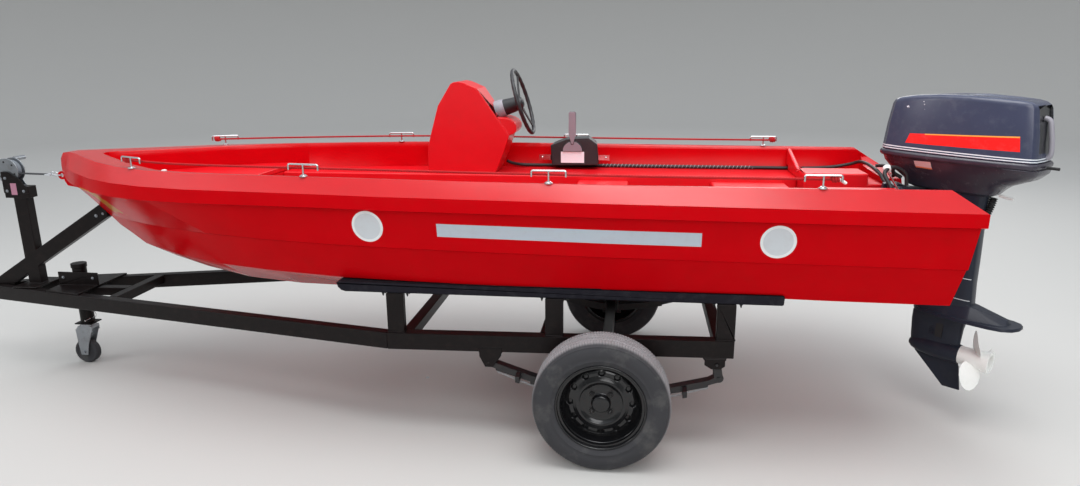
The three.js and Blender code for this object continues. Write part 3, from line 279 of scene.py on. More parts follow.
# %% Bolt heads
WASHER = [(0, 0), (0.8, 0), (0.8, 0.2), (0, 0.2)]
HEAD = [(0, 0.2), (0.56, 0.2), (0.56, 0.9), (0.48, 1), (0, 1)]
STUD = [(0, 1), (0.3, 1), (0.3, 1.3), (0.2, 1.45), (0, 1.45)]


def hex_head(centre, axis, size, height):
    """A washer, a six-sided head and the rounded end of a stud, each a profile times width and height."""
    return joined([spin(np.array(profile) * [size, height], centre, axis, sides)
                   for profile, sides in ((WASHER, 16), (HEAD, 6), (STUD, 10))])


print("a bolt head:", len(hex_head((0, 0, 0), Z_AXIS, 0.010, 0.008)[1]), "faces")

# %% [markdown]
# Three helpers carry the rest. A printed colour becomes linear light, because the shader adds up
# light and not ink. A shader node is added with its settings and links in one call. A mesh piece is
# made from arrays, with its place in its mesh, and set riding on the body that it moves with.

# %% Node and mesh helpers


def linear(hex_colour):
    """A printed sRGB hex colour as linear red, green, blue and full alpha."""
    part = np.array([int(hex_colour[i:i + 2], 16) for i in (1, 3, 5)]) / 255
    flat = np.where(part <= 0.04045, part / 12.92, ((part + 0.055) / 1.055) ** 2.4)
    return (*flat.tolist(), 1.0)


def add_node(material, kind, values=None, links=None, **settings):
    """Adds one shader node: settings are its properties, values its sockets, links what feeds them."""
    made = material.node_tree.nodes.new(kind)
    for name, value in settings.items():
        setattr(made, name, value)
    for socket, value in (values or {}).items():
        made.inputs[socket].default_value = value
    for socket, source in (links or {}).items():
        material.node_tree.links.new(source, made.inputs[socket])
    return made


def mesh_piece(name, shape, material, body, smooth=35, bevel=0.0, replaces=()):
    """Makes a piece from points and faces, turns its faces outwards and sets it riding on a body."""
    points, faces = shape
    data = bpy.data.meshes.new(name)
    data.from_pydata(np.asarray(points, float).tolist(), [], faces)
    work = bmesh.new()
    work.from_mesh(data)
    bmesh.ops.remove_doubles(work, verts=work.verts, dist=MM * 0.02)
    bmesh.ops.recalc_face_normals(work, faces=work.faces)
    work.to_mesh(data)
    work.free()
    data.polygons.foreach_set("use_smooth", [True] * len(data.polygons))
    data.set_sharp_from_angle(angle=math.radians(smooth))
    data.materials.append(material)
    piece = bpy.data.objects.new(name, data)
    bpy.context.scene.collection.objects.link(piece)
    if bevel:
        edge = piece.modifiers.new("edge", "BEVEL")
        edge.width, edge.segments, edge.limit_method = bevel * MM, 2, "ANGLE"
        edge.angle_limit = math.radians(30)
    if body:
        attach(piece, body)
    if replaces:
        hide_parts(*replaces)
    return piece


print("hull red as light:", [round(part, 3) for part in linear("#c80510")[:3]])

# %% [markdown]
# The floor is one pale dish with a gently rising rim, so that every view ends in the same
# quiet grey. The world is an overcast sky: bright overhead, dim near the ground, which is what
# puts pale sheen on faces that look up and leaves the hull's sides deep red.

# %% Floor and light
DISH = {"rings": (0.01, 4, 9), "flat": 14.0, "bend": 4.0, "wall": 8.0, "sectors": 96}


def dish_shape():
    """Radius grows along a flat floor, turns up a quarter circle, then climbs a straight wall."""
    turn = np.linspace(0, math.pi / 2, 12)
    flat, bend = DISH["flat"], DISH["bend"]
    radius = np.concatenate([DISH["rings"], flat + bend * np.sin(turn), [flat + bend]])
    height = np.concatenate([[0, 0, 0], bend * (1 - np.cos(turn)), [DISH["wall"]]])
    angle = np.linspace(0, 2 * math.pi, DISH["sectors"], endpoint=False)
    points = np.stack([radius[:, None] * np.cos(angle), radius[:, None] * np.sin(angle),
                       height[:, None] * np.ones_like(angle)], -1)
    return points.reshape(-1, 3), grid_faces(*points.shape[:2], close_columns=True)


floor_paint = bpy.data.materials.new("pale_studio_paint")
floor_paint.use_nodes = True
floor_shader = floor_paint.node_tree.nodes["Principled BSDF"]
floor_shader.inputs["Base Color"].default_value = linear("#bdbcb9")
floor_shader.inputs["Roughness"].default_value = 0.85
mesh_piece("studio_floor", dish_shape(), floor_paint, None)

LIGHTS = [
    # name, place, aimed at, size, watts
    ("sky_panel", (0.0, 0.6, 6.5), (-0.3, 0.0, 0.6), 6.0, 150),
    ("sky_strip", (-1.8, 1.9, 6.0), (-1.8, 1.9, 0.0), 4.2, 170),
    ("yard_side", (-2.5, 7.5, 4.6), (-0.6, 0.0, 0.7), 5.0, 210),
    ("bow_side", (6.5, 3.0, 4.2), (0.6, 0.0, 0.8), 3.0, 80),
    ("far_rim", (-3.0, -6.5, 4.5), (-0.4, 0.0, 0.8), 4.0, 110),
]
for name, place, target, size, watts in LIGHTS:
    lamp = bpy.data.lights.new(name, "AREA")
    lamp.shape, lamp.size, lamp.energy = "DISK", size, watts
    lamp_object = bpy.data.objects.new(name, lamp)
    lamp_object.location = place
    lamp_object.rotation_euler = (Vector(target) - Vector(place)).to_track_quat("-Z", "Y").to_euler()
    bpy.context.scene.collection.objects.link(lamp_object)
world = bpy.data.worlds.new("open_sky")
world.use_nodes = True
sky = world.node_tree.nodes["Background"]
sky.inputs["Color"].default_value = linear("#e9eef4")
sky_height = add_node(world, "ShaderNodeSeparateXYZ",
                      links={"Vector": add_node(world, "ShaderNodeTexCoord").outputs["Generated"]})
sky_light = add_node(world, "ShaderNodeMapRange",
                     {"From Min": 0.0, "From Max": 0.8, "To Min": 0.22, "To Max": 1.15},
                     {"Value": sky_height.outputs["Z"]})
world.node_tree.links.new(sky_light.outputs["Result"], sky.inputs["Strength"])
bpy.context.scene.world = world
bpy.context.scene.view_settings.view_transform = "Standard"
print("lights:", len(LIGHTS))

# %% [markdown]
# Stripes and discs on a boat are paint or vinyl. They could be thin pieces or an unwrapped image,
# but a thin piece would cut into the curved hull. Here they are masks in the shader: a mark is the
# space between flat planes, or a disc, seen square on, so it lies on whatever curve is below it.

# %% Masks


def maths(material, operation, first, second):
    """One scalar step; each side is a number or another node's output."""
    step = add_node(material, "ShaderNodeMath", operation=operation)
    for number, value in enumerate((first, second)):
        if isinstance(value, bpy.types.NodeSocket):
            material.node_tree.links.new(value, step.inputs[number])
        else:
            step.inputs[number].default_value = value
    return step.outputs[0]


def reach_along(material, place, direction):
    """How far a point lies along a direction: the dot product of the two, in metres."""
    dot = add_node(material, "ShaderNodeVectorMath", {1: tuple(direction)}, {0: place},
                   operation="DOT_PRODUCT")
    return dot.outputs["Value"]


def inside(material, place, corners, facing):
    """1 inside a convex outline looked at along facing: the product of its edges' half-planes."""
    corners = np.asarray(corners, float)
    centre = corners.mean(0)
    mask = None
    for a, b in zip(corners, np.roll(corners, -1, 0)):
        inward = unit(np.cross(b - a, facing))
        inward = inward if np.dot(centre - a, inward) > 0 else -inward
        side = maths(material, "GREATER_THAN", reach_along(material, place, inward), float(np.dot(a, inward)))
        mask = side if mask is None else maths(material, "MULTIPLY", mask, side)
    return mask


def side_distance(material, place, centre):
    """How far a point is from the centre in the side view, which leaves Y out."""
    flat = add_node(material, "ShaderNodeVectorMath", {1: (1.0, 0.0, 1.0)}, {0: place}, operation="MULTIPLY")
    middle = (float(centre[0]), 0.0, float(centre[2]))
    gap = add_node(material, "ShaderNodeVectorMath", {1: middle}, {0: flat.outputs[0]}, operation="DISTANCE")
    return gap.outputs["Value"]


def disc(material, place, centre, radius):
    """1 where the distance from the centre in the side view is under the radius."""
    return maths(material, "LESS_THAN", side_distance(material, place, centre), radius)


SIGN_STEEPNESS = 1000.0


def outboard(material, place, least=0.3, side=Y_AXIS, middle=0.0):
    """1 on faces that look away from a middle plane: the normal along side, signed by half, is over least."""
    normal = add_node(material, "ShaderNodeTexCoord").outputs["Normal"]
    from_middle = maths(material, "SUBTRACT", reach_along(material, place, side), middle)
    signed = maths(material, "MULTIPLY", from_middle, SIGN_STEEPNESS)
    clipped = maths(material, "MAXIMUM", maths(material, "MINIMUM", signed, 1.0), -1.0)
    return maths(material, "GREATER_THAN",
                 maths(material, "MULTIPLY", clipped, reach_along(material, normal, side)), least)


def add_mix(material, first, second, factor):
    """Mixes two colours, each a fixed value or another node's output, by a factor output."""
    mixer = add_node(material, "ShaderNodeMix", data_type="RGBA")
    for socket, value in ((6, first), (7, second), (0, factor)):
        if isinstance(value, bpy.types.NodeSocket):
            material.node_tree.links.new(value, mixer.inputs[socket])
        else:
            mixer.inputs[socket].default_value = value
    return mixer.outputs[2]


# %% [markdown]
# Most finishes share one recipe: a base colour that drifts a little from place to place, painted
# marks, dirt that gathers in soft patches, roughness that follows the dirt, and a fine bump. Each
# row names the real surface and gives the sizes of its patches and its grain in millimetres.

# %% Finish recipe
DIRT_PATCHES = {"From Min": 0.5, "From Max": 0.78}
DIRT_ROUGHENS = 0.25
SKY_TILT = {"From Min": 0.1, "From Max": 0.6}
SWELL_HEIGHT = 0.004


def finish(name, colour, shade, rough, metal=0.0, patch=120, grain=1.5, bump=0.2, sheen=0.5, dirt=None,
           dirt_amount=0.3, wave=0.0, wave_size=110, depth=0.0002, ior=1.5, skyward=None, marks=()):
    """A finish: colour drifts to its shade by a slow noise, then marks, then dirt by a broken noise.

    With skyward, the IOR rises with the normal's height, so faces that look up shine like wet gloss.
    """
    material = bpy.data.materials.new(name)
    material.use_nodes = True
    shader = material.node_tree.nodes["Principled BSDF"]
    shader.inputs["Metallic"].default_value = metal
    if not metal:
        shader.inputs["Specular IOR Level"].default_value = sheen
        shader.inputs["IOR"].default_value = ior
    if skyward:
        lift = reach_along(material, add_node(material, "ShaderNodeTexCoord").outputs["Normal"], Z_AXIS)
        polish = add_node(material, "ShaderNodeMapRange",
                          {**SKY_TILT, "To Min": skyward[0], "To Max": skyward[1]}, {"Value": lift})
        material.node_tree.links.new(polish.outputs["Result"], shader.inputs["IOR"])
    place = add_node(material, "ShaderNodeTexCoord").outputs["Object"]
    slow = add_node(material, "ShaderNodeTexNoise", {"Scale": 1000 / patch, "Detail": 3.0}, {"Vector": place})
    fine = add_node(material, "ShaderNodeTexNoise", {"Scale": 1000 / grain, "Detail": 2.0}, {"Vector": place})
    base = add_mix(material, linear(colour), linear(shade), slow.outputs["Fac"])
    for mark, paint in marks:
        base = add_mix(material, base, linear(paint), mark(material, place))
    spots = add_node(material, "ShaderNodeTexNoise",
                     {"Scale": 3000 / patch, "Detail": 6.0, "Roughness": 0.65}, {"Vector": place})
    mask = add_node(material, "ShaderNodeMapRange", {**DIRT_PATCHES, "To Max": dirt_amount},
                    {"Value": spots.outputs["Fac"]})
    if dirt:
        base = add_mix(material, base, linear(dirt), mask.outputs["Result"])
    material.node_tree.links.new(base, shader.inputs["Base Color"])
    roughness = add_node(material, "ShaderNodeMapRange",
                         {"To Min": rough, "To Max": min(rough + DIRT_ROUGHENS, 1.0)},
                         {"Value": mask.outputs["Result"]})
    material.node_tree.links.new(roughness.outputs["Result"], shader.inputs["Roughness"])
    relief = add_node(material, "ShaderNodeBump", {"Strength": bump, "Distance": depth},
                      {"Height": fine.outputs["Fac"]})
    if wave:
        swell = add_node(material, "ShaderNodeTexNoise", {"Scale": 1000 / wave_size, "Detail": 2.0},
                         {"Vector": place})
        relief = add_node(material, "ShaderNodeBump", {"Strength": wave, "Distance": SWELL_HEIGHT},
                          {"Height": swell.outputs["Fac"], "Normal": relief.outputs["Normal"]})
    material.node_tree.links.new(relief.outputs["Normal"], shader.inputs["Normal"])
    return material


# %% [markdown]
# The hull carries one plain grey stripe and two plain pale discs on each side. On each bow a strip
# is rubbed down to the yellow-brown laminate: its mask is how near a point comes to a line, and a
# noise makes its edge ragged, as wear is.

# %% Marks on the hull
STRIPE = [(679, 994), (-377, 981), (-377, 924), (679, 938)]
DISCS = [(976, 972), (-666, 951)]
DISC_RADIUS, DISC_RIM = 0.068, 0.057
WORN_STEM = {"centre": (2482, 262, 985), "along": (-0.426, -0.442, -0.79), "half_length": 128,
             "half_width": 92, "top": 1042, "noise": 30.0, "ragged": 0.9, "edge": 1.32}


def side_outline(corners):
    """An outline taped in the side view, as points on the middle plane."""
    return taped([(x, 0, z) for x, z in corners])


def hull_stripe(material, place):
    """The grey stripe: inside its outline and on a face that looks outboard."""
    return maths(material, "MULTIPLY", inside(material, place, side_outline(STRIPE), Y_AXIS),
                 outboard(material, place))


def hull_discs(radius):
    """Both discs of one radius, added up, on faces that look outboard."""
    def mask(material, place):
        first, second = (disc(material, place, taped((x, 0, z)), radius) for x, z in DISCS)
        return maths(material, "MULTIPLY", maths(material, "ADD", first, second), outboard(material, place))
    return mask


def worn_stem(material, place):
    """Bare laminate on both bows: nearness to a line, with Y taken unsigned, roughened by a noise."""
    parts = add_node(material, "ShaderNodeSeparateXYZ", links={"Vector": place})
    unsigned = maths(material, "ABSOLUTE", parts.outputs["Y"], 0.0)
    mirrored = add_node(material, "ShaderNodeCombineXYZ",
                        links={"X": parts.outputs["X"], "Y": unsigned, "Z": parts.outputs["Z"]})
    centre = tuple(taped(WORN_STEM["centre"]))
    offset = add_node(material, "ShaderNodeVectorMath", {1: centre}, {0: mirrored.outputs[0]},
                      operation="SUBTRACT").outputs[0]
    down = maths(material, "ABSOLUTE", reach_along(material, offset, unit(WORN_STEM["along"])), 0.0)
    reach = add_node(material, "ShaderNodeVectorMath", links={0: offset}, operation="LENGTH")
    square = maths(material, "SUBTRACT", maths(material, "POWER", reach.outputs["Value"], 2.0),
                   maths(material, "POWER", down, 2.0))
    sideways = maths(material, "SQRT", maths(material, "MAXIMUM", square, 0.0), 0.0)
    far = maths(material, "MAXIMUM", maths(material, "DIVIDE", down, WORN_STEM["half_length"] * MM),
                maths(material, "DIVIDE", sideways, WORN_STEM["half_width"] * MM))
    noise = add_node(material, "ShaderNodeTexNoise", {"Scale": WORN_STEM["noise"], "Detail": 5.0},
                     {"Vector": place})
    edge = maths(material, "ADD", far, maths(material, "MULTIPLY", noise.outputs["Fac"], WORN_STEM["ragged"]))
    below_band = maths(material, "LESS_THAN", parts.outputs["Z"], WORN_STEM["top"] * MM)
    return maths(material, "MULTIPLY", maths(material, "LESS_THAN", edge, WORN_STEM["edge"]), below_band)


print("marks on each side of the hull:", 1 + len(DISCS))

# %% [markdown]
# The motor has a red stripe with a thin yellow edge, two silver lines above its seam, painted shade
# in the hollow at the back, a blank label and white scuffs. The marks are given in the motor's own
# measures, so they keep their place on a motor that is parked turned.

# %% Marks on the motor
MOTOR_STRIPE = [(20, 304), (-398, 331), (-408, 270), (34, 262)]
STRIPE_EDGE = [(-45, 309), (-398, 331), (-398, 325), (-45, 304)]
TRIM_LINES = [242, 232]
TRIM_WIDTH = 0.0022
LEG_SEAMS = [(-312, -190, -288), (-410, -190, -296)]
# the patch where shade is painted into the hollow at the back of the cowl, in motor measures
BACK_SHADE = {"front": -412, "half_width": 89, "low": 264, "high": 451}
COWL_LABEL = [(-12, 187), (-83, 190), (-86, 155), (-17, 157)]
LABEL_BAND = [(-16, 163), (-85, 161), (-86, 155), (-17, 157)]
SCUFFS = [(66, 441), (-22, 445), (-26, 402), (62, 408)]
SCUFF_NOISE, SCUFF_PEAK = 75.0, 0.66
MOTOR_MIDDLE = float(np.dot(on_motor(0, 0, 0), MOTOR_Y))


def motor_outline(corners):
    """An outline in motor measures, as points on the middle plane."""
    corners = np.asarray(corners, float)
    return on_motor(corners[:, 0], 0, corners[:, 1])


def motor_patch(corners):
    """A patch in motor measures on the cowl's outboard faces."""
    def mask(material, place):
        return maths(material, "MULTIPLY", inside(material, place, motor_outline(corners), MOTOR_Y),
                     outboard(material, place, 0.5, MOTOR_Y, MOTOR_MIDDLE))
    return mask


def trim_line(height):
    """A thin line round the cowl at one height in motor measures."""
    def mask(material, place):
        middle = float(np.dot(on_motor(0, 0, height), MOTOR_V))
        away = maths(material, "SUBTRACT", reach_along(material, place, MOTOR_V), middle)
        return maths(material, "LESS_THAN", maths(material, "ABSOLUTE", away, 0.0), TRIM_WIDTH)
    return mask


def leg_seam(height, front, rear):
    """A light sealant line across the leg's side, between two u values."""
    corners = [(front, height + 1.6), (rear, height - 1.4), (rear, height - 4.6), (front, height - 1.6)]
    return motor_patch(corners)


def painted_back_shade(material, place):
    """Painted shade in the hollow at the back of the cowl: rear faces near the middle, between two heights.
    """
    rear = on_motor(BACK_SHADE["front"], 0, 0)
    behind = maths(material, "LESS_THAN", reach_along(material, place, MOTOR_U), float(np.dot(rear, MOTOR_U)))
    across = maths(material, "SUBTRACT", reach_along(material, place, MOTOR_Y), MOTOR_MIDDLE)
    half_width = BACK_SHADE["half_width"] * MM
    near = maths(material, "LESS_THAN", maths(material, "ABSOLUTE", across, 0.0), half_width)
    height = reach_along(material, place, MOTOR_V)
    low, high = (float(np.dot(on_motor(0, 0, BACK_SHADE[end]), MOTOR_V)) for end in ("low", "high"))
    between = maths(material, "MULTIPLY", maths(material, "GREATER_THAN", height, low),
                    maths(material, "LESS_THAN", height, high))
    return maths(material, "MULTIPLY", maths(material, "MULTIPLY", behind, near), between)


def cowl_scuffs(material, place):
    """White scuffs near the cowl's front top edge: a patch times the peaks of a streaky noise."""
    patch = inside(material, place, motor_outline(SCUFFS), MOTOR_Y)
    streak = add_node(material, "ShaderNodeTexNoise", {"Scale": SCUFF_NOISE, "Detail": 4.0},
                      {"Vector": place})
    peaks = maths(material, "GREATER_THAN", streak.outputs["Fac"], SCUFF_PEAK)
    return maths(material, "MULTIPLY", patch, peaks)


print("the motor's middle plane:", round(MOTOR_MIDDLE, 4), "m")

# %% [markdown]
# Two marks belong to use. Dust pales the part of a tyre that meets the road, and the winch line
# ends in bare steel.

# %% Dust and bare steel
TYRE_CENTRE_Z = 281.5
DUST = {"from": 0.272, "full": 0.280, "reach": 0.3}
HOOK_END_X = 2968


def road_dust(material, place):
    """Pale dust on the tread: how near a point's distance from the axle comes to the tyre's radius."""
    gap = side_distance(material, place, taped((0, 0, TYRE_CENTRE_Z)))
    ramp = add_node(material, "ShaderNodeMapRange", {"From Min": DUST["from"], "From Max": DUST["full"]},
                    {"Value": gap})
    near_axle = maths(material, "LESS_THAN", gap, DUST["reach"])
    return maths(material, "MULTIPLY", ramp.outputs["Result"], near_axle)


def bare_hook(material, place):
    """The aft end of the winch line, where a steel hook takes over from the webbing."""
    end = taped((HOOK_END_X, 0, 0))
    return maths(material, "LESS_THAN", reach_along(material, place, X_AXIS), float(end[0]))


print("dust starts", round(TYRE_CENTRE_Z - DUST["from"] / MM, 1), "mm inside the tread's face")

# %% [markdown]
# Gel coat is tinted resin under a polished skin, so it is red all through with a clean sheen. Out
# of doors its faces that look up turn pale with sky, which the shell's rising IOR stands for. Rod,
# rope and moulded plastic make up the rest of the boat.

# %% Finishes of the boat
HULL_MARKS = [(hull_stripe, "#b6bfc8"), (hull_discs(DISC_RADIUS), "#e4e6e6"),
              (hull_discs(DISC_RIM), "#c9ced2"), (worn_stem, "#b8772f")]
FINISHES = {
    # polished resin: deep red sides, a pale sheen where it faces the sky
    "red_shell": finish("glossy_red_gelcoat", "#c80510", "#b9040d", 0.2, skyward=(1.09, 1.62), wave=0.2,
                        wave_size=150, dirt="#8d2a20", dirt_amount=0.10, bump=0.03, marks=HULL_MARKS),
    # the same resin under years of sun: a lighter and softer red
    "red_inside": finish("sunned_red_gelcoat", "#de1420", "#cf0d18", 0.3, sheen=0.4, wave=0.2, dirt="#a03a30",
                         dirt_amount=0.12, bump=0.05),
    # laid fibre: dull, darker between the strands
    "red_rope": finish("red_laid_rope", "#bf1219", "#8e0d13", 0.85, bump=0.5, patch=30),
    # buffed rod: sharp bright lines of sky
    "stainless": finish("polished_stainless", "#dddedf", "#c9cbcd", 0.2, metal=1.0, bump=0.05, grain=0.6),
    # moulded grain: a soft grey shine with dust in it
    "dark_plastic": finish("black_moulded_plastic", "#26262a", "#1d1d21", 0.42, bump=0.3, grain=0.8,
                           dirt="#55504c", dirt_amount=0.2),
    # extruded jacket: nearly black with a thin highlight
    "cable_black": finish("black_cable_jacket", "#131417", "#1a1b1e", 0.5, bump=0.2, dirt="#4a4743",
                          dirt_amount=0.2),
}
print("finishes of the boat:", len(FINISHES))

# %% [markdown]
# The motor wears enamel over aluminium: sprayed gloss on the cowls, a satin that water has dulled on
# the leg, and white on the propeller.

# %% Finishes of the motor
# the first mark paints shade, near black, into the hollow at the back of the cowl
COWL_MARKS = [(painted_back_shade, "#17191d"), (motor_patch(MOTOR_STRIPE), "#f01916"),
              (motor_patch(STRIPE_EDGE), "#f0a24a"), (trim_line(TRIM_LINES[0]), "#e3e9ee"),
              (trim_line(TRIM_LINES[1]), "#dfe5ea"), (cowl_scuffs, "#dfe4ea")]
PAN_MARKS = [(motor_patch(COWL_LABEL), "#e8d3d0"), (motor_patch(LABEL_BAND), "#d7885a")]
LEG_MARKS = [(leg_seam(*row), "#c9ced2") for row in LEG_SEAMS]
FINISHES |= {
    # sprayed enamel: slate blue that mirrors the sky a little wavily
    "cowl_blue": finish("slate_blue_gloss_enamel", "#3c4158", "#363b50", 0.24, wave=0.1, bump=0.03,
                        dirt="#8a8d90", dirt_amount=0.1, marks=COWL_MARKS),
    # the pan below it: the same gloss in a darker paint, its warm cast a painted reflection of the red hull
    "cowl_dark": finish("dark_enamel_painted_hull_reflection", "#3a3642", "#312e39", 0.26, bump=0.04, wave=0.1,
                        dirt="#6d6f70", dirt_amount=0.12, marks=PAN_MARKS),
    # enamel dulled by water: dark and only half shiny
    "leg_blue": finish("dark_blue_satin_enamel", "#262a36", "#20242e", 0.34, sheen=0.22, bump=0.06,
                       dirt="#55544f", dirt_amount=0.12, marks=LEG_MARKS),
    # baked enamel: a clean bright white
    "prop_white": finish("white_prop_enamel", "#fbfbf8", "#f2f2ee", 0.35, bump=0.08, dirt="#b5b0a6",
                         dirt_amount=0.12),
}
print("with the motor's:", len(FINISHES))

# %% [markdown]
# The trailer is brush-painted steel, so it is nearly black with a brown cast and shows the brush.
# Plated fittings keep a metal's shine under brown patches. Rubber, carpet and webbing scatter light
# and stay dull.

# %% Finishes of the trailer
FINISHES |= {
    # brushed-on paint: black with a brown cast and brush waves
    "frame_black": finish("black_brown_frame_paint", "#110d0d", "#171212", 0.36, sheen=0.5, ior=1.25,
                          bump=0.3, grain=2.5, patch=90, dirt="#342a27", dirt_amount=0.3, wave=0.15,
                          wave_size=60),
    # looped pile: swallows light, with lint on it
    "carpet": finish("dark_bunk_carpet", "#26252c", "#1b1a20", 0.97, sheen=0.1, bump=1.0, grain=3.2,
                     dirt="#3a3a3e", dirt_amount=0.6, depth=0.0022),
    # plated steel: a flat grey metal with rust-brown patches
    "zinc": finish("dull_zinc_plate", "#a4a8ad", "#83878c", 0.36, metal=0.9, bump=0.2, dirt="#5b4b3d",
                   dirt_amount=0.35),
    # dipped paint: glossy black, so the vents read by their highlights
    "wheel_black": finish("black_wheel_paint", "#101012", "#151517", 0.16, bump=0.1, dirt="#3b3835",
                          dirt_amount=0.2),
    # worn rubber: charcoal, paler with dust on the tread
    "tyre_rubber": finish("dusty_tyre_rubber", "#3a3a3d", "#303033", 0.72, sheen=0.3, bump=0.4, grain=2.0,
                          patch=260, dirt="#6c6a67", dirt_amount=0.45, marks=[(road_dust, "#8a888a")]),
    # woven strap: dull dark grey up to its bare steel hook
    "strap_grey": finish("dark_winch_webbing", "#2b2c2f", "#222326", 0.8, bump=0.5, grain=1.2,
                         marks=[(bare_hook, "#b4b8bc")]),
}
print("with the trailer's:", len(FINISHES))

# %% [markdown]
# The last finishes are for small fittings that exist only here: springs, knobs, labels and wraps.

# %% Finishes of small fittings
# painted steel: black with a soft line of light along each leaf
SPRING_STEEL = finish("black_painted_spring", "#1a191b", "#131214", 0.3, bump=0.2, dirt="#4a4038",
                      dirt_amount=0.3)
# plain mouldings: a mid grey, the lever's is a little warmer
GREY_PLASTIC = finish("grey_moulded_plastic", "#9a979f", "#8d8a92", 0.4, bump=0.15, grain=0.8)
LEVER_GREY = finish("grey_lever_plastic", "#8f878f", "#847c85", 0.35, bump=0.1)
# printed film with nothing on it: flat and bright
BLANK_WHITE = finish("blank_white_label", "#eceef4", "#e2e5ec", 0.4, bump=0.05)
# a faded red reflector: pink, with a pebbled face
REFLECTOR = finish("blank_pink_reflector", "#b07a8e", "#a06d80", 0.3, bump=0.3, grain=0.9)
# a knob and small fittings: clean warm white
WHITE_KNOB = finish("white_moulded_knob", "#eeeeec", "#dfdfdc", 0.3, bump=0.05)
# bellows and the latch rod: black that never quite shines; in the flange holes and intake slots the same
# black is painted shade
BLACK_RUBBER_AND_HOLE_SHADE = finish("black_rubber_and_hole_shade", "#141416", "#1b1b1d", 0.6, bump=0.3)
# webbing on its drum: grey, with the weave showing in light and dark
DRUM_GREY = finish("grey_wound_webbing", "#7f858c", "#6b7178", 0.8, bump=0.6, grain=1.1, patch=20)
# wrap round cable and springs: pale grey, mottled by its own turns
CORD_PALE = finish("pale_wrapped_cord", "#a9a9ab", "#77787a", 0.6, bump=0.4, patch=12)
print("materials:", len(bpy.data.materials))

# %% [markdown]
# A real edge is never perfectly sharp, and a moulded hull least of all. Each CAD node is copied,
# its loose triangles are merged and its flat faces joined, and a bevel rounds every hard edge. The
# edges could be rounded in the CAD, but there they would cost thousands of faces. The hull's bevel
# is clamped, because its long thin triangles at the stem would fold over otherwise. The riser
# closes the step below the bow deck.

# %% Rounded copies of the CAD nodes
DRESS = {
    # node prefix: (slot, edge radius in mm, number of steps)
    "hull": ("red_shell", 5, 2), "bench": ("red_inside", 8, 3), "thwart": ("red_inside", 10, 3),
    "bow_deck": ("red_inside", 5, 2), "aft_box": ("red_inside", 8, 3), "console": ("red_inside", 4, 2),
    "remote_box": ("dark_plastic", 4, 2), "bow_eye": ("red_shell", 1, 1), "clamp_bracket": ("leg_blue", 3, 2),
    # the lower cowl's finish carries a painted reflection of the red hull in its colour
    "swivel_bracket": ("leg_blue", 3, 2), "top_cowl": ("cowl_blue", 3, 2), "lower_cowl": ("cowl_dark", 2, 2),
    "motor_leg": ("leg_blue", 2, 2), "propeller": ("prop_white", 0.8, 1), "side_frame": ("frame_black", 3, 2),
    "drawbar_rail": ("frame_black", 5, 2), "bunk": ("carpet", 9, 3), "leaf_spring": ("spring", 0.8, 1),
    "shackle": ("spring", 1, 1), "cross_member": ("frame_black", 4, 2), "centre_bar": ("frame_black", 3, 2),
    "axle": ("frame_black", 4, 2), "winch_stand": ("frame_black", 3, 2), "winch": ("zinc", 0.8, 1),
    "winch_strap": ("strap_grey", 0.5, 1), "jockey_mount": ("frame_black", 2, 2),
    "jockey_leg": ("frame_black", 2, 2),
    "caster_fork": ("zinc", 1.2, 2), "caster_wheel": ("tyre_rubber", 0.5, 1), "coupler": ("zinc", 4, 2),
}
PAINTED_SLOTS = {"spring": ("zinc", SPRING_STEEL)}
REMADE = ("tyre", "rim", "handle", "rope", "control_cables", "steering_wheel")
BEVEL_FROM = math.radians(32)
MERGE = 0.00002
SAFE_RADIUS = 1.5
FLAT = math.radians(0.6)
RISER = [(-334, 744), (334, 744), (334, 1034.8), (-334, 1034.8)]
RISER_X, RISER_DEPTH = 1819, 0.003


def rounded(name):
    """A merged copy of a CAD node with flat faces joined and its hard edges rounded."""
    row, radius, steps = DRESS[max((prefix for prefix in DRESS if name.startswith(prefix)), key=len)]
    slot, material = PAINTED_SLOTS.get(row, (row, FINISHES.get(row)))
    node = frame["nodes"][name]
    data = bpy.data.meshes.new(name + "_skin")
    work = bmesh.new()
    work.from_mesh(node.data)
    bmesh.ops.remove_doubles(work, verts=work.verts, dist=MERGE)
    if radius > SAFE_RADIUS:
        bmesh.ops.dissolve_limit(work, angle_limit=FLAT, verts=work.verts, edges=work.edges)
    work.to_mesh(data)
    work.free()
    data.polygons.foreach_set("use_smooth", [True] * len(data.polygons))
    data.materials.append(material)
    piece = bpy.data.objects.new(name + "_skin", data)
    bpy.context.scene.collection.objects.link(piece)
    bevel = piece.modifiers.new("edge", "BEVEL")
    bevel.width, bevel.segments, bevel.limit_method = radius * MM, steps, "ANGLE"
    bevel.angle_limit, bevel.use_clamp_overlap = BEVEL_FROM, radius < SAFE_RADIUS or name == "hull"
    weigh = piece.modifiers.new("flat", "WEIGHTED_NORMAL")
    weigh.keep_sharp, weigh.weight = False, 80
    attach(piece, node["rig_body"])
    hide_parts(name)
    return piece


skins = [rounded(name) for name in frame["nodes"] if not name.startswith(REMADE)]
riser = slab(np.array(RISER) * MM, taped((RISER_X, 0, 0)), Y_AXIS, Z_AXIS, RISER_DEPTH)
mesh_piece("deck_riser", riser, FINISHES["red_inside"], FIXED)
print("rounded copies:", len(skins))

# %% [markdown]
# Road tyres: a closed section is turned about the axle. Four grooves run round the tread and thin
# slits cross each rib, one step later from rib to rib, which gives the fine teeth at the shoulder.

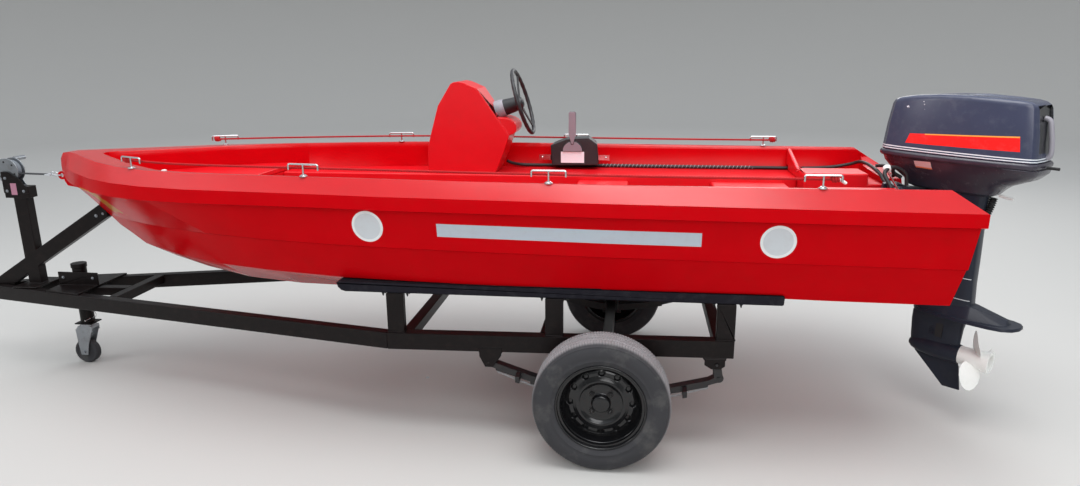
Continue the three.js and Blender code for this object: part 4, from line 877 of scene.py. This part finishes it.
# %% Tyres
TYRE = {"radius": 281.5, "inner": 166.5, "inner_half": 62, "y": 735, "z": TYRE_CENTRE_Z}
SHOULDER = [(180.5, 62), (184, 70), (190.5, 74), (201, 77.5), (204, 80.6), (207, 80.8), (210, 79.6),
            (220, 81.6), (230, 82.5), (240, 82.0), (250, 80.3), (258, 78), (262, 76.5), (265, 76.9),
            (268, 74), (272, 69.5), (276, 64), (278.5, 59.5), (280, 56)]
GROOVES = (-35.0, -12.0, 12.0, 35.0)
TREAD = {"half": 54.0, "columns": 45, "crown": 1.3, "base": 274.5, "shoulder": 40,
         "groove": 5.5, "groove_half": 3.6, "groove_wall": 1.1, "grooved": 52,
         "slits": 150, "steps": 4, "slit": 1.9, "open": 0.3, "stagger": 0.4, "lean": 0.35}


def tyre_section():
    """Radius and width round the tyre: inner wall, sidewall, crowned tread, and the same back again."""
    outer = np.array(SHOULDER)
    width = np.linspace(-TREAD["half"], TREAD["half"], TREAD["columns"])
    crown = np.stack([TYRE["radius"] - TREAD["crown"] * (width / TREAD["half"]) ** 2, width], -1)
    start, end = ([[TYRE["inner"], TYRE["inner_half"] * sign]] for sign in (-1, 1))
    return np.concatenate([start, outer * [1, -1], crown, outer[::-1], end]) * MM


def tread_depth(radius, along, angle):
    """Cuts the tread: grooves by distance from their middle, slits by a square wave in the angle."""
    width = along / MM
    on_tread = (radius / MM > TREAD["base"]).astype(float)
    nearest = np.min([np.abs(width - middle) for middle in GROOVES], axis=0)
    groove = np.clip((TREAD["groove_half"] - nearest) / TREAD["groove_wall"], 0, 1) * TREAD["groove"]
    groove = groove * (np.abs(width) < TREAD["grooved"])
    rib = np.sum([width > middle for middle in GROOVES], axis=0)
    lean = TREAD["lean"] * np.abs(width) / TREAD["half"]
    phase = (angle * TREAD["slits"] / (2 * math.pi) + TREAD["stagger"] * rib + lean) % 1.0
    slit = (phase < TREAD["open"]) * TREAD["slit"] * (1 + 0.5 * (np.abs(width) > TREAD["shoulder"]))
    return radius - np.maximum(groove, slit * on_tread) * on_tread * MM, along


for side, sign in SIDES.items():
    centre = taped((0, TYRE["y"] * sign, TYRE["z"]))
    shape = spin(tyre_section(), centre, Y_AXIS * sign, TREAD["slits"] * TREAD["steps"], closed=True,
                 depth=tread_depth)
    mesh_piece(f"tyre_tread_{side}", shape, FINISHES["tyre_rubber"], f"wheel_{side}",
               smooth=50, replaces=(f"tyre_{side}",))
print("tyres:", len(SIDES))

# %% [markdown]
# Pressed wheels: a stepped barrel, a ring of round vents and a domed middle with four nuts. Real
# vents are holes. Cutting them would need a boolean, and what lies behind them is black, so they
# are deep dimples pressed into the turned face.

# %% Wheels
BARREL = [(184, 66), (184.5, 72), (181, 74.5), (177, 73), (175.5, 66), (174, 58), (169.5, 55), (168.5, 46),
          (164, 42), (163, 14), (160, 4), (154, -2), (148, 2), (145.5, 9)]
DISC_FACE = [(140, 15), (131, 19), (118, 19.5), (106, 24), (98, 27.5), (92, 27), (86, 22), (78, 17.5),
             (68, 16), (58, 17), (50, 17.5), (42, 18), (38, 21), (36, 34), (33, 38), (22, 40.5), (10, 41.5),
             (0, 41.8)]
WHEEL_BACK = [(0, -8), (14, -8.5), (14, -84), (38, -84), (38, 4), (96, 14), (128, 8), (132, -20), (154, -32),
              (160, -66), (166, -72), (178, -71), (184, -70), (182, -62.5), (166, -62.5), (166, 62.5),
              (182, 62.5)]
FACE_STEP, WHEEL_SIDES = 2.5, 216
VENTS = {"count": 12, "ring": 129, "radius": 12.5, "depth": 13, "wall": 2.5, "face": 12}
NUTS = {"count": 4, "ring": 52, "seat": 17, "size": 17, "height": 15}


def wheel_section():
    """The outer face resampled in short steps so that vents can be cut into it, then the plain back."""
    face = np.array(BARREL + DISC_FACE, float)
    length = np.concatenate([[0], np.cumsum(np.linalg.norm(np.diff(face, axis=0), axis=1))])
    fine = np.arange(0, length[-1], FACE_STEP)
    dense = np.stack([np.interp(fine, length, face[:, i]) for i in (0, 1)], -1)
    return np.concatenate([dense, [face[-1]], WHEEL_BACK]) * MM


def vent_depth(radius, along, angle):
    """Presses round dimples into the face: a flat-floored cup where a point is near a vent's middle."""
    spacing = 2 * math.pi / VENTS["count"]
    turn = (angle + spacing / 2) % spacing - spacing / 2
    gap = np.hypot(radius * np.cos(turn) - VENTS["ring"] * MM, radius * np.sin(turn)) / MM
    cup = np.clip((VENTS["radius"] - gap) / VENTS["wall"], 0, 1) * VENTS["depth"]
    return radius, along - cup * (along / MM > VENTS["face"]) * MM


for side, sign in SIDES.items():
    centre = taped((0, TYRE["y"] * sign, TYRE["z"]))
    out = Y_AXIS * sign
    shape = spin(wheel_section(), centre, out, WHEEL_SIDES, closed=True, depth=vent_depth)
    mesh_piece(f"pressed_rim_{side}", shape, FINISHES["wheel_black"], f"wheel_{side}",
               smooth=55, replaces=(f"rim_{side}",))
    turns = np.arange(NUTS["count"]) * math.tau / NUTS["count"] + math.pi / 4
    arms = [(X_AXIS * math.cos(turn) + Z_AXIS * math.sin(turn)) * NUTS["ring"] for turn in turns]
    nuts = [hex_head(centre + (out * NUTS["seat"] + arm) * MM, out, NUTS["size"] * MM, NUTS["height"] * MM)
            for arm in arms]
    mesh_piece(f"wheel_nuts_{side}", joined(nuts), SPRING_STEEL, f"wheel_{side}")
print("wheels:", len(SIDES))

# %% [markdown]
# Gunwale handles are bent stainless rod on a round foot, with the lifeline running through them.
# Each is made at the place and in the direction of its CAD handle: the direction is the longest
# spread of the points along its top.

# %% Handles
HANDLE = {"height": 50, "half": 68, "drop": 24, "rod": 4.2, "bend": 8, "top_band": 4}
HANDLE_FOOT = [(0, 0), (17, 0), (17, 3), (13, 5.2), (8, 9), (0, 9)]
FOOT_SCREW = {"ring": 12.5, "rise": 3.6, "size": 5, "height": 2.2, "turns": (0.5, 2.6, 4.7)}


def node_points(name):
    """Every corner of a CAD node, as an array."""
    data = frame["nodes"][name].data
    flat = np.empty(len(data.vertices) * 3)
    data.vertices.foreach_get("co", flat)
    return flat.reshape(-1, 3)


def foot_screws(middle):
    """Small screws round a handle's foot, each a ring radius out at its own turn."""
    screws = []
    for turn in FOOT_SCREW["turns"]:
        out = np.array([math.cos(turn), math.sin(turn), 0]) * FOOT_SCREW["ring"] + Z_AXIS * FOOT_SCREW["rise"]
        screws.append(hex_head(middle + out * MM, Z_AXIS, FOOT_SCREW["size"] * MM, FOOT_SCREW["height"] * MM))
    return screws


def handle_shape(name):
    """A squared hoop of rod on a post, turned to the way the CAD handle points."""
    points = node_points(name)
    low, high = points.min(0), points.max(0)
    top_ones = points[points[:, 2] > high[2] - HANDLE["top_band"] * MM]
    spread = np.linalg.svd(top_ones[:, :2] - top_ones[:, :2].mean(0), full_matrices=False)[2][0]
    along = np.array([spread[0], spread[1], 0]) * np.sign(spread[0]) * HANDLE["half"] * MM
    middle = np.array([*(0.5 * (low + high))[:2], low[2]])
    top = middle + Z_AXIS * (HANDLE["height"] * MM)
    drop = Z_AXIS * HANDLE["drop"] * MM
    hoop = round_path([top - along - drop, top - along, top + along, top + along - drop], HANDLE["bend"] * MM)
    rod = HANDLE["rod"] * MM
    post = [middle + Z_AXIS * 0.004, middle + Z_AXIS * 0.03, top]
    foot = spin(np.array(HANDLE_FOOT) * MM, middle, Z_AXIS, 24)
    return joined([sweep(hoop, rod, 12), sweep(post, rod, 12), foot] + foot_screws(middle))


print("a handle:", len(handle_shape("handle_port_1")[0]), "points")

# %% [markdown]
# The line is laid rope. A bump map could draw its lay, but the outline of a rope is lumpy too, so
# three strands are wound round the middle of the CAD rope, with a stopper knot at each end.

# %% Lifelines
ROPE = {"lay": 2.6, "strand": 2.7, "pitch": 34, "sides": 6, "ring_gap": 15}
KNOT = {"size": 11, "cord": 4.8, "turns": 3, "steps": 60, "length": 2.6, "rise": 2}
WHIPPING_STOPS, WHIPPING_RADIUS = [(0, 0, 0), (-18, -4, -2), (-42, -8, -16)], 6.2


def rope_middle(name):
    """The middle of a CAD rope: its corners sorted along X and averaged ring by ring."""
    points = np.unique(np.round(node_points(name), 5), axis=0)
    points = points[np.argsort(points[:, 0])]
    breaks = np.nonzero(np.diff(points[:, 0]) > ROPE["ring_gap"] * MM)[0] + 1
    return np.array([ring.mean(0) for ring in np.split(points, breaks)])


def knot_shape(centre, axis):
    """A stopper knot: a few tight turns of cord about an axis, wider in the middle."""
    whole = 2 * math.pi * KNOT["turns"]
    turn = np.linspace(0, whole, KNOT["steps"])
    axis = unit(axis)
    first = unit(np.cross(axis, Z_AXIS))
    second = np.cross(axis, first)
    size = KNOT["size"] * MM
    reach = size * (0.75 + 0.25 * np.sin(turn / 6))
    ring = np.cos(turn)[:, None] * first + np.sin(turn)[:, None] * second
    path = centre + (turn / whole - 0.5)[:, None] * axis * size * KNOT["length"] + reach[:, None] * ring
    return sweep(path, KNOT["cord"] * MM, 8)


def strand(middle, phase):
    """One strand of the line, wound round its middle from a starting phase."""
    lay = twist_round(middle, ROPE["lay"] * MM, ROPE["pitch"] * MM, phase)
    return sweep(lay, ROPE["strand"] * MM, ROPE["sides"])


for side in SIDES:
    for number in (1, 2, 3, 4):
        name = f"handle_{side}_{number}"
        mesh_piece(f"{name}_rod", handle_shape(name), FINISHES["stainless"], FIXED, smooth=50,
                   replaces=(name,))
    middle = rope_middle(f"rope_{side}")
    strands = [strand(middle, phase) for phase in (0, math.tau / 3, 2 * math.tau / 3)]
    knots = [knot_shape(end + Z_AXIS * KNOT["rise"] * MM, X_AXIS) for end in (middle[0], middle[-1])]
    mesh_piece(f"laid_rope_{side}", joined(strands + knots), FINISHES["red_rope"], FIXED,
               smooth=70, replaces=(f"rope_{side}",))
    if side == "port":
        aft_end = middle[0]
tail = smooth_path(aft_end + np.array(WHIPPING_STOPS) * MM, 0.004)
mesh_piece("rope_end_whipping", sweep(tail, WHIPPING_RADIUS * MM, 12), WHITE_KNOB, FIXED)
print("handles:", 4 * len(SIDES), "lifelines:", len(SIDES))

# %% [markdown]
# The helm is a soft-gripped wheel on a grey boss. Its rim is one tube whose thickness follows a
# cosine, which gives the finger dents, and its spokes are flat bars carried along a bent path.

# %% Helm
HELM_AXIS = unit([-0.956, 0, 0.294])
HELM_CENTRE = taped((491, -480, 1408))
HELM = {"rim": 171, "tube": 11, "dents": 24, "dent": 0.5, "steps": 144}
SPOKE = {"wide": 17, "narrow": 10, "half_thick": 3.2, "bend": 30, "turns": (90, 210, 330)}
SPOKE_STOPS = [(16, -17), (75, -12), (HELM["rim"], 0)]
HUB = [(0, -34), (33, -34), (31, -10), (26, -2), (18, 2), (0, 3)]
BOSS = [(0, -152), (49.5, -152), (48.8, -135), (46.2, -106), (44, -103), (0, -103)]
NECK = [(0, -102.8), (43.2, -102.8), (42.5, -90), (37.8, -35.6), (12, -34.8), (0, -34.8)]
HELM_SIDE = unit(np.cross(HELM_AXIS, Y_AXIS))


def wheel_rim():
    """A ring of tube whose thickness swells a little between the finger dents."""
    turn = np.linspace(0, math.tau, HELM["steps"], endpoint=False)
    ring = np.cos(turn)[:, None] * HELM_SIDE + np.sin(turn)[:, None] * Y_AXIS
    tube = HELM["tube"] - HELM["dent"] + HELM["dent"] * np.cos(HELM["dents"] * turn)
    return sweep(HELM_CENTRE + HELM["rim"] * MM * ring, tube * MM, 14, closed=True)


def wheel_spokes():
    """Three flat spokes from the dished hub to the rim: four corners carried along each path."""
    parts = []
    for degrees in SPOKE["turns"]:
        out = math.cos(math.radians(degrees)) * HELM_SIDE + math.sin(math.radians(degrees)) * Y_AXIS
        stops = [HELM_CENTRE + (out * reach + HELM_AXIS * rise) * MM for reach, rise in SPOKE_STOPS]
        path = round_path(stops, SPOKE["bend"] * MM)
        width = np.linspace(SPOKE["wide"], SPOKE["narrow"], len(path))[:, None] * MM
        edge, lift = np.cross(HELM_AXIS, out) * width, HELM_AXIS * SPOKE["half_thick"] * MM
        corners = np.stack([path + a * edge + b * lift for a, b in ((-1, -1), (1, -1), (1, 1), (-1, 1))], 1)
        last = 4 * (len(path) - 1)
        caps = [[0, 1, 2, 3], [last, last + 1, last + 2, last + 3]]
        parts.append((corners.reshape(-1, 3), grid_faces(len(path), 4, close_columns=True) + caps))
    return joined(parts + [spin(np.array(HUB) * MM, HELM_CENTRE, HELM_AXIS, 28)])


mesh_piece("helm_rim", wheel_rim(), FINISHES["dark_plastic"], "helm_wheel", smooth=60,
           replaces=("steering_wheel",))
mesh_piece("helm_spokes", wheel_spokes(), FINISHES["dark_plastic"], "helm_wheel", smooth=40,
           bevel=1.2)
for name, profile, material in (("helm_boss", BOSS, GREY_PLASTIC),
                                ("helm_neck", NECK, FINISHES["dark_plastic"])):
    mesh_piece(name, spin(np.array(profile) * MM, HELM_CENTRE, HELM_AXIS, 36), material, FIXED,
               smooth=40)
print("helm: rim, spokes, boss and neck")

# %% [markdown]
# The remote control stands beside the helm: a black box with a moulded cover, a blank label, and
# a flat grey lever in its boot. All of it is seen from the side, so its outlines were taped in the
# side view and given a depth, one plate in front of the other.

# %% Remote control
REMOTE_FACE = [(336, 1160), (262, 1190), (142, 1197), (103, 1170), (99, 1072), (334, 1066)]
LABEL = [(165, 1073), (293, 1073), (293, 1134), (165, 1134)]
BOOT = {"x": 229, "z": 1137, "radius": 53}
boot_arc = np.linspace(0, math.pi, 24)
BOOT_OUTLINE = np.stack([BOOT["x"] + BOOT["radius"] * np.cos(boot_arc),
                         BOOT["z"] + BOOT["radius"] * np.sin(boot_arc)], -1)
LEVER_OUTLINE = [(212, 1345), (216, 1351), (246, 1351), (250, 1345), (250, 1232), (236, 1180), (230, 1174),
                 (224, 1180), (210, 1232)]
PLATES = [
    # name, outline, near face's y, depth, finish, edge radius
    ("remote_cover", REMOTE_FACE, -539.6, 1.4, FINISHES["dark_plastic"], 0.5),
    ("remote_label", LABEL, -538.1, 0.6, BLANK_WHITE, 0.0),
    ("lever_boot", BOOT_OUTLINE, -531.4, 1.0, LEVER_GREY, 0.0),
    ("lever_sleeve", LEVER_OUTLINE, -528.3, 11.0, LEVER_GREY, 1.5),
]
TABS = {"low": 1088, "high": 1116, "y": -543.6, "depth": 0.8, "screw_y": -542.8}
TAB_STOPS = [(352, 415, 396), (27, 87, 46)]


def side_plate(corners, y, depth):
    """A plate in the side view whose near face is at y, in millimetres from the axle."""
    return slab(np.asarray(corners, float) * MM, taped((0, y, 0)), X_AXIS, Z_AXIS, -depth * MM)


for name, outline, y, depth, material, edge in PLATES:
    mesh_piece(name, side_plate(outline, y, depth), material, FIXED, bevel=edge)
tab_parts = []
for start, end, screw in TAB_STOPS:
    tab = [(start, TABS["low"]), (end, TABS["low"]), (end, TABS["high"]), (start, TABS["high"])]
    tab_parts.append(side_plate(tab, TABS["y"], TABS["depth"]))
    screw_place = taped((screw, TABS["screw_y"], 0.5 * (TABS["low"] + TABS["high"])))
    tab_parts.append(hex_head(screw_place, Y_AXIS, 0.011, 0.005))
mesh_piece("remote_tabs", joined(tab_parts), FINISHES["stainless"], FIXED)
print("remote control plates:", len(PLATES), "tabs:", len(TAB_STOPS))

# %% [markdown]
# The control cables leave the console, lie along the bench and climb to the motor's clamp. They
# are one black tube through taped stops. A pale spiral wrap, a helix round the same line, covers
# the stretch along the bench.

# %% Cable
CABLE_STOPS = [(600, -575, 1075), (570, -594, 1060), (530, -621.7, 1049.5), (460, -632.5, 1045.5),
               (250, -636.6, 1045.5), (0, -636, 1045.5), (-300, -630, 1045.5), (-600, -628, 1045.5),
               (-800, -628, 1045.5), (-1000, -623.8, 1045.5), (-1150, -618.6, 1053.5),
               (-1245, -604.6, 1071.5), (-1288, -560, 1092), (-1294, -450, 1098), (-1294, -320, 1092),
               (-1294, -220, 1078), (-1292, -160, 1060), (-1292, -128, 1056), (-1292, -111, 1056)]
CABLE = {"radius": 0.0088, "step": 0.012, "wrap_pitch": 0.021, "wrap_cord": 0.0021}
WRAPPED = (72, -760)
cable = smooth_path(taped(CABLE_STOPS), CABLE["step"])
mesh_piece("helm_cable", sweep(cable, CABLE["radius"], 14), FINISHES["cable_black"], FIXED,
           smooth=60, replaces=("control_cables",))
wrapped = cable[(cable[:, 0] < WRAPPED[0] * MM + AXLE_X) & (cable[:, 0] > WRAPPED[1] * MM + AXLE_X)]
wrap = sweep(twist_round(wrapped, CABLE["radius"], CABLE["wrap_pitch"], 0.0), CABLE["wrap_cord"], 6)
mesh_piece("cable_wrap", wrap, CORD_PALE, FIXED, smooth=70)
print("cable:", len(cable), "rings,", len(wrapped), "of them wrapped")

# %% [markdown]
# Round the motor: a grey grab bar down the back of the cowl, a latch rod, a ribbed boot behind the
# leg and water-intake slots, whose dark openings are painted shade on a black slab behind thin ribs.
# All are taped in the motor's own measures, so they turn and tilt with it. The boot's folds are a
# cosine in the tube's thickness.

# %% Motor fittings
GRAB_BEND, GRAB_RADIUS = 0.02, 0.0105
GRAB_BAR = [(-436, 402), (-458, 396), (-476, 310), (-482, 256), (-470, 240)]
LATCH = [(-478, 10, 205), (-500, 10, 205), (-524, 10, 205)]
LATCH_RADII, PIN_RADIUS = [0.007, 0.006, 0.0065], 0.0055
BOOT_STOPS = [(-306, 0, 50), (-301, 0, 20), (-295, 0, -8), (-288, 0, -34)]
BELLOWS = {"radius": 0.014, "ripple": 0.0028, "folds": 9, "step": 0.0012}
LEG_PIN = [(-330, 20, 68), (-356, 20, 63), (-384, 20, 60)]
INTAKE = [(-207, -614), (-177, -614), (-177, -547), (-207, -547)]
INTAKE_WALL, INTAKE_DEPTH = 0.0345, 0.008
RIBS = {"count": 7, "first": -552, "step": 9, "ends": ((-172, 32.6), (-148, 31.6)), "radius": 0.0011}


def motor_path(rows):
    """A list of (u, y, v) stops as points in the frame."""
    rows = np.asarray(rows, float)
    return on_motor(rows[:, 0], rows[:, 1], rows[:, 2])


bar = round_path(motor_path([(u, 0, v) for u, v in GRAB_BAR]), GRAB_BEND)
mesh_piece("cowl_grab_bar", sweep(bar, GRAB_RADIUS, 14), GREY_PLASTIC, "motor", smooth=60)
mesh_piece("cowl_latch_rod", sweep(motor_path(LATCH), LATCH_RADII, 12), BLACK_RUBBER_AND_HOLE_SHADE, "motor",
           smooth=60)
boot_path = smooth_path(motor_path(BOOT_STOPS), BELLOWS["step"])
ripple = np.cos(np.linspace(0, 2 * math.pi * BELLOWS["folds"], len(boot_path)))
mesh_piece("leg_boot", sweep(boot_path, BELLOWS["radius"] + BELLOWS["ripple"] * ripple, 20), BLACK_RUBBER_AND_HOLE_SHADE,
           "motor", smooth=60)
mesh_piece("leg_pin", sweep(motor_path(LEG_PIN), PIN_RADIUS, 12), WHITE_KNOB, "motor", smooth=50)
slot_parts, rib_parts = [], []
for sign in SIDES.values():
    wall = on_motor(0, 0, 0) + MOTOR_Y * INTAKE_WALL * sign
    slot_parts.append(slab(np.array(INTAKE) * MM, wall, MOTOR_U, MOTOR_V, -INTAKE_DEPTH * sign))
    for v in RIBS["first"] - RIBS["step"] * np.arange(RIBS["count"]):
        rib_parts.append(sweep(motor_path([(u, y * sign, v) for u, y in RIBS["ends"]]), RIBS["radius"], 6))
# painted shade: the black slab behind the ribs stands for the dark inside the intake slots
mesh_piece("intake_slot_shade", joined(slot_parts), BLACK_RUBBER_AND_HOLE_SHADE, "motor")
mesh_piece("intake_ribs", joined(rib_parts), FINISHES["leg_blue"], "motor")
print("motor fittings: 6, with", len(rib_parts), "intake ribs")

# %% [markdown]
# A white-knobbed tilt lever and the fuel hose sit on the bracket, and one more hose runs into the
# pan. Each rides on the body that it is fixed to, so nothing pulls through the cowl when it tilts.

# %% Tilt lever and hoses
LEVER_STOPS = [(-1276, 100, 1062), (-1262, 100, 1080), (-1236, 100, 1120), (-1219, 100, 1150)]
KNOB_RADIUS, KNOB_CENTRE = 0.0185, (-1217, 100, 1154)
HOSE_RADIUS = 0.0085
PAN_HOSE = [(66, 60, 92), (96, 78, 112), (92, 92, 134), (52, 100, 146)]
HOSES = [
    # name, the body it rides on, slot, stops
    ("throttle_hose", FIXED, "cable_black",
     [(-1296, -300, 1110), (-1315, -240, 1118), (-1328, -170, 1112), (-1322, -122, 1088)]),
    ("fuel_hose", "motor_bracket", "leg_blue",
     [(-1220, 175, 1080), (-1200, 130, 1140), (-1250, 92, 1160), (-1302, 84, 1130), (-1312, 86, 1078)]),
]
LEVER_RADIUS = 0.0048
mesh_piece("tilt_lever", sweep(smooth_path(taped(LEVER_STOPS), 0.008), LEVER_RADIUS, 12),
           FINISHES["stainless"], "motor_bracket", smooth=60)
knob_turn = np.linspace(0, math.pi, 14)
knob = np.stack([np.sin(knob_turn), -np.cos(knob_turn)], -1) * KNOB_RADIUS
mesh_piece("tilt_knob", spin(knob, taped(KNOB_CENTRE), Z_AXIS, 24), WHITE_KNOB, "motor_bracket",
           smooth=60)
for name, body, slot, stops in HOSES:
    mesh_piece(name, sweep(smooth_path(taped(stops), 0.01), HOSE_RADIUS, 12), FINISHES["cable_black"], body,
               smooth=60)
mesh_piece("pan_hose", sweep(smooth_path(motor_path(PAN_HOSE), 0.008), HOSE_RADIUS, 12),
           FINISHES["cable_black"], "motor", smooth=60)
print("lever, knob and hoses:", 3 + len(HOSES))

# %% [markdown]
# The trailer's steel is bolted and welded. Weld beads ring the foot of each post, coach bolts hold
# the bunks, and a pale twisted wire shows along the bottom leaf of each spring. A weld could be
# bump in the paint, but its wobble catches the light, so it is a tube of changing thickness.

# %% Trailer fittings
POST_X = [902, 210, -500]
SPRING_Y, POST_Y = 578, 571
BEAD = {"radius": 3.2, "wobble": 0.22, "wave": 1.9, "half_x": 37.5, "half_y": 18, "steps": 26}
BUNK_BOLTS = [(-22, 0.009, 0.009), (6, 0.008, 0.010)]
BUNK_BOLT_STEPS, BUNK_BOLT_Z = (-56, 52), 662
SPRING_CLIPS = [(361, 315, 0.26), (-341, 288, -0.22)]
WIRE_RUNS = [[(70, 213), (180, 232), (313, 272), (455, 325)],
             [(-70, 214), (-180, 232), (-288, 250), (-440, 297)]]
WIRE = {"lay": 0.0026, "pitch": 0.016, "radius": 0.0018}
STRAP_BOLTS = {"x": 2795, "y": 27.2, "z": 1038}


def weld_loop(x, y, z):
    """A wobbly bead round the foot of a post: its radius follows a fast wave along the loop."""
    turns = ((-1, -1), (1, -1), (1, 1), (-1, 1), (-1, -1))
    corners = taped([(x + a * BEAD["half_x"], y + b * BEAD["half_y"], z) for a, b in turns])
    path = np.concatenate([np.linspace(a, b, BEAD["steps"], endpoint=False)
                           for a, b in zip(corners[:-1], corners[1:])])
    wave = 1 + BEAD["wobble"] * np.sin(np.arange(len(path)) * BEAD["wave"])
    return sweep(path, BEAD["radius"] * MM * wave, 7, closed=True)


def spring_clip(x, z, tilt, sign):
    """A clip round the leaves: an upright plate whose fore edge is moved up by the spring's tilt."""
    rise = 18 * tilt
    outline = np.array([(x - 9, z - 15), (x + 9, z - 15 + rise), (x + 9, z + 13 + rise), (x - 9, z + 13)])
    return slab(outline * MM, taped((0, (SPRING_Y + 25) * sign, 0)), X_AXIS, Z_AXIS, 0.05 * sign)


def spring_wire(run, sign):
    """Two wires twisted round one line along the bottom leaf."""
    line = smooth_path(taped([(x, (SPRING_Y + 19) * sign, z) for x, z in run]), 0.01)
    return [sweep(twist_round(line, WIRE["lay"], WIRE["pitch"], phase), WIRE["radius"], 6)
            for phase in (0.0, math.pi)]


welds, bolts, clips, wires = [], [], [], []
for side, sign in SIDES.items():
    for x in POST_X:
        welds.append(weld_loop(x, POST_Y * sign, frame_top(x)))
        for step in BUNK_BOLT_STEPS:
            bolts += [hex_head(taped((x + step, (POST_Y + off) * sign, BUNK_BOLT_Z)), -Z_AXIS, size, height)
                      for off, size, height in BUNK_BOLTS]
    clips += [spring_clip(x, z, tilt, sign) for x, z, tilt in SPRING_CLIPS]
    for run in WIRE_RUNS:
        wires += spring_wire(run, sign)
for sign in SIDES.values():
    place = taped((STRAP_BOLTS["x"], STRAP_BOLTS["y"] * sign, STRAP_BOLTS["z"]))
    bolts.append(hex_head(place, Y_AXIS * sign, 0.02, 0.008))
mesh_piece("post_welds", joined(welds), FINISHES["frame_black"], FIXED, smooth=60)
mesh_piece("bunk_bolts", joined(bolts), SPRING_STEEL, FIXED)
mesh_piece("spring_clips", joined(clips), SPRING_STEEL, FIXED, bevel=1.0)
mesh_piece("spring_wires", joined(wires), CORD_PALE, FIXED, smooth=70)
print("welds:", len(welds), "bolts:", len(bolts), "clips:", len(clips), "wires:", len(wires))

# %% [markdown]
# The winch: perforated flanges, webbing wound on its drum, a blank pink reflector on the cheek of
# its head, and bolt heads where the stand is fixed. The holes are thin black discs on the flange,
# painted shade for the dark inside each hole, and the webbing is a turned profile with small
# ridges, as its turns never lie quite flush.

# %% Winch
DRUM = {"x": 3178, "z": 1078, "flange": 65, "wound": 52, "core": 28, "half": 20.5, "ridge": 1.2, "ridges": 7}
HOLES = {"ring": 0.047, "y": 0.0241, "first": 20, "step": 60}
HOLE = [(0, 0), (5.5, 0), (5.5, 0.5), (0, 0.5)]
LIP_Y, LIP_RADIUS = (23.0, -23.0), 0.0024
REFLECTOR_FACE, REFLECTOR_Y = [(3128, 952), (3162, 952), (3162, 1014), (3128, 1014)], 33.6
STAND_BOLTS = [
    # x, y, z, width and height of the head
    (3090, 33.4, 972, 0.010, 0.005), (3186, 33.4, 972, 0.010, 0.005), (3186, 33.4, 1040, 0.010, 0.005),
    (2700, 25.2, 846, 0.011, 0.006), (2660, 25.2, 858, 0.009, 0.005),
    (2765, 43.4, 505, 0.010, 0.006), (2938, 43.4, 505, 0.010, 0.006),
]


def side_ring(centre, radius, steps):
    """A ring in the side view: centre plus radius times cos along X and sin along Z."""
    turn = np.linspace(0, math.tau, steps, endpoint=False)[:, None]
    return centre + radius * (np.cos(turn) * X_AXIS + np.sin(turn) * Z_AXIS)


drum_centre = taped((DRUM["x"], 0, DRUM["z"]))
turns = np.linspace(-1, 1, 15)
wound = np.stack([DRUM["wound"] + DRUM["ridge"] * np.cos(turns * DRUM["ridges"] * math.pi),
                  DRUM["half"] * turns], -1)
wound = np.concatenate([[[DRUM["core"], -DRUM["half"]]], wound, [[DRUM["core"], DRUM["half"]]]]) * MM
mesh_piece("wound_webbing", spin(wound, drum_centre, Y_AXIS, 48), DRUM_GREY, FIXED, smooth=60)
holes = []
for degrees in range(HOLES["first"], HOLES["first"] + 360, HOLES["step"]):
    out = X_AXIS * math.cos(math.radians(degrees)) + Z_AXIS * math.sin(math.radians(degrees))
    place = drum_centre + out * HOLES["ring"] + Y_AXIS * HOLES["y"]
    holes.append(spin(np.array(HOLE) * MM, place, Y_AXIS, 16))
# painted shade: each black disc stands for the dark inside a hole through the flange
mesh_piece("flange_hole_shade", joined(holes), BLACK_RUBBER_AND_HOLE_SHADE, FIXED)
lips = [sweep(side_ring(drum_centre + Y_AXIS * y * MM, (DRUM["flange"] - 0.5) * MM, 72), LIP_RADIUS, 8,
              closed=True) for y in LIP_Y]
mesh_piece("flange_lips", joined(lips), FINISHES["zinc"], FIXED, smooth=60)
mesh_piece("post_reflector", side_plate(REFLECTOR_FACE, REFLECTOR_Y, -0.6), REFLECTOR, FIXED)
stand_bolts = [hex_head(taped((x, y, z)), Y_AXIS, size, height) for x, y, z, size, height in STAND_BOLTS]
mesh_piece("stand_bolts", joined(stand_bolts), FINISHES["zinc"], FIXED)
print("winch: holes", len(holes), "lips", len(lips), "bolts", len(stand_bolts))

# %% [markdown]
# Last, three small fittings that the eye finds at the bow: the jockey's ring pin, the shackle at the
# end of the winch line, and a round white fitting on the gunwale.

# %% Jockey pin, bow shackle and fitting
RING_CENTRE, PIN_STOPS = (2829, 6, 284), [(2838, -4, 268), (2846, 30, 262), (2850, 46, 259)]
SHACKLE = {"centre": (2921, 0, 1062), "radii": (0.021, 0.004, 0.011)}
FITTING = [(0, 0), (12, 0), (12, 3), (7, 6), (0, 7)]
ring = sweep(side_ring(taped(RING_CENTRE), 0.019, 48), 0.0017, 8, closed=True)
mesh_piece("jockey_ring_pin", joined([ring, sweep(taped(PIN_STOPS), 0.004, 10)]), FINISHES["stainless"],
           FIXED, smooth=60)
shackle_turn = np.linspace(0, math.tau, 40, endpoint=False)
loop = np.stack([np.cos(shackle_turn), np.sin(shackle_turn), np.sin(shackle_turn)], -1) * SHACKLE["radii"]
mesh_piece("bow_shackle", sweep(taped(SHACKLE["centre"]) + loop, 0.003, 10, closed=True),
           FINISHES["stainless"], FIXED, smooth=60)
mesh_piece("bow_fitting", spin(np.array(FITTING) * MM, taped((1957, 494, 1166)), Z_AXIS, 20), WHITE_KNOB,
           FIXED)
print("shackle, pin and fitting: 3")
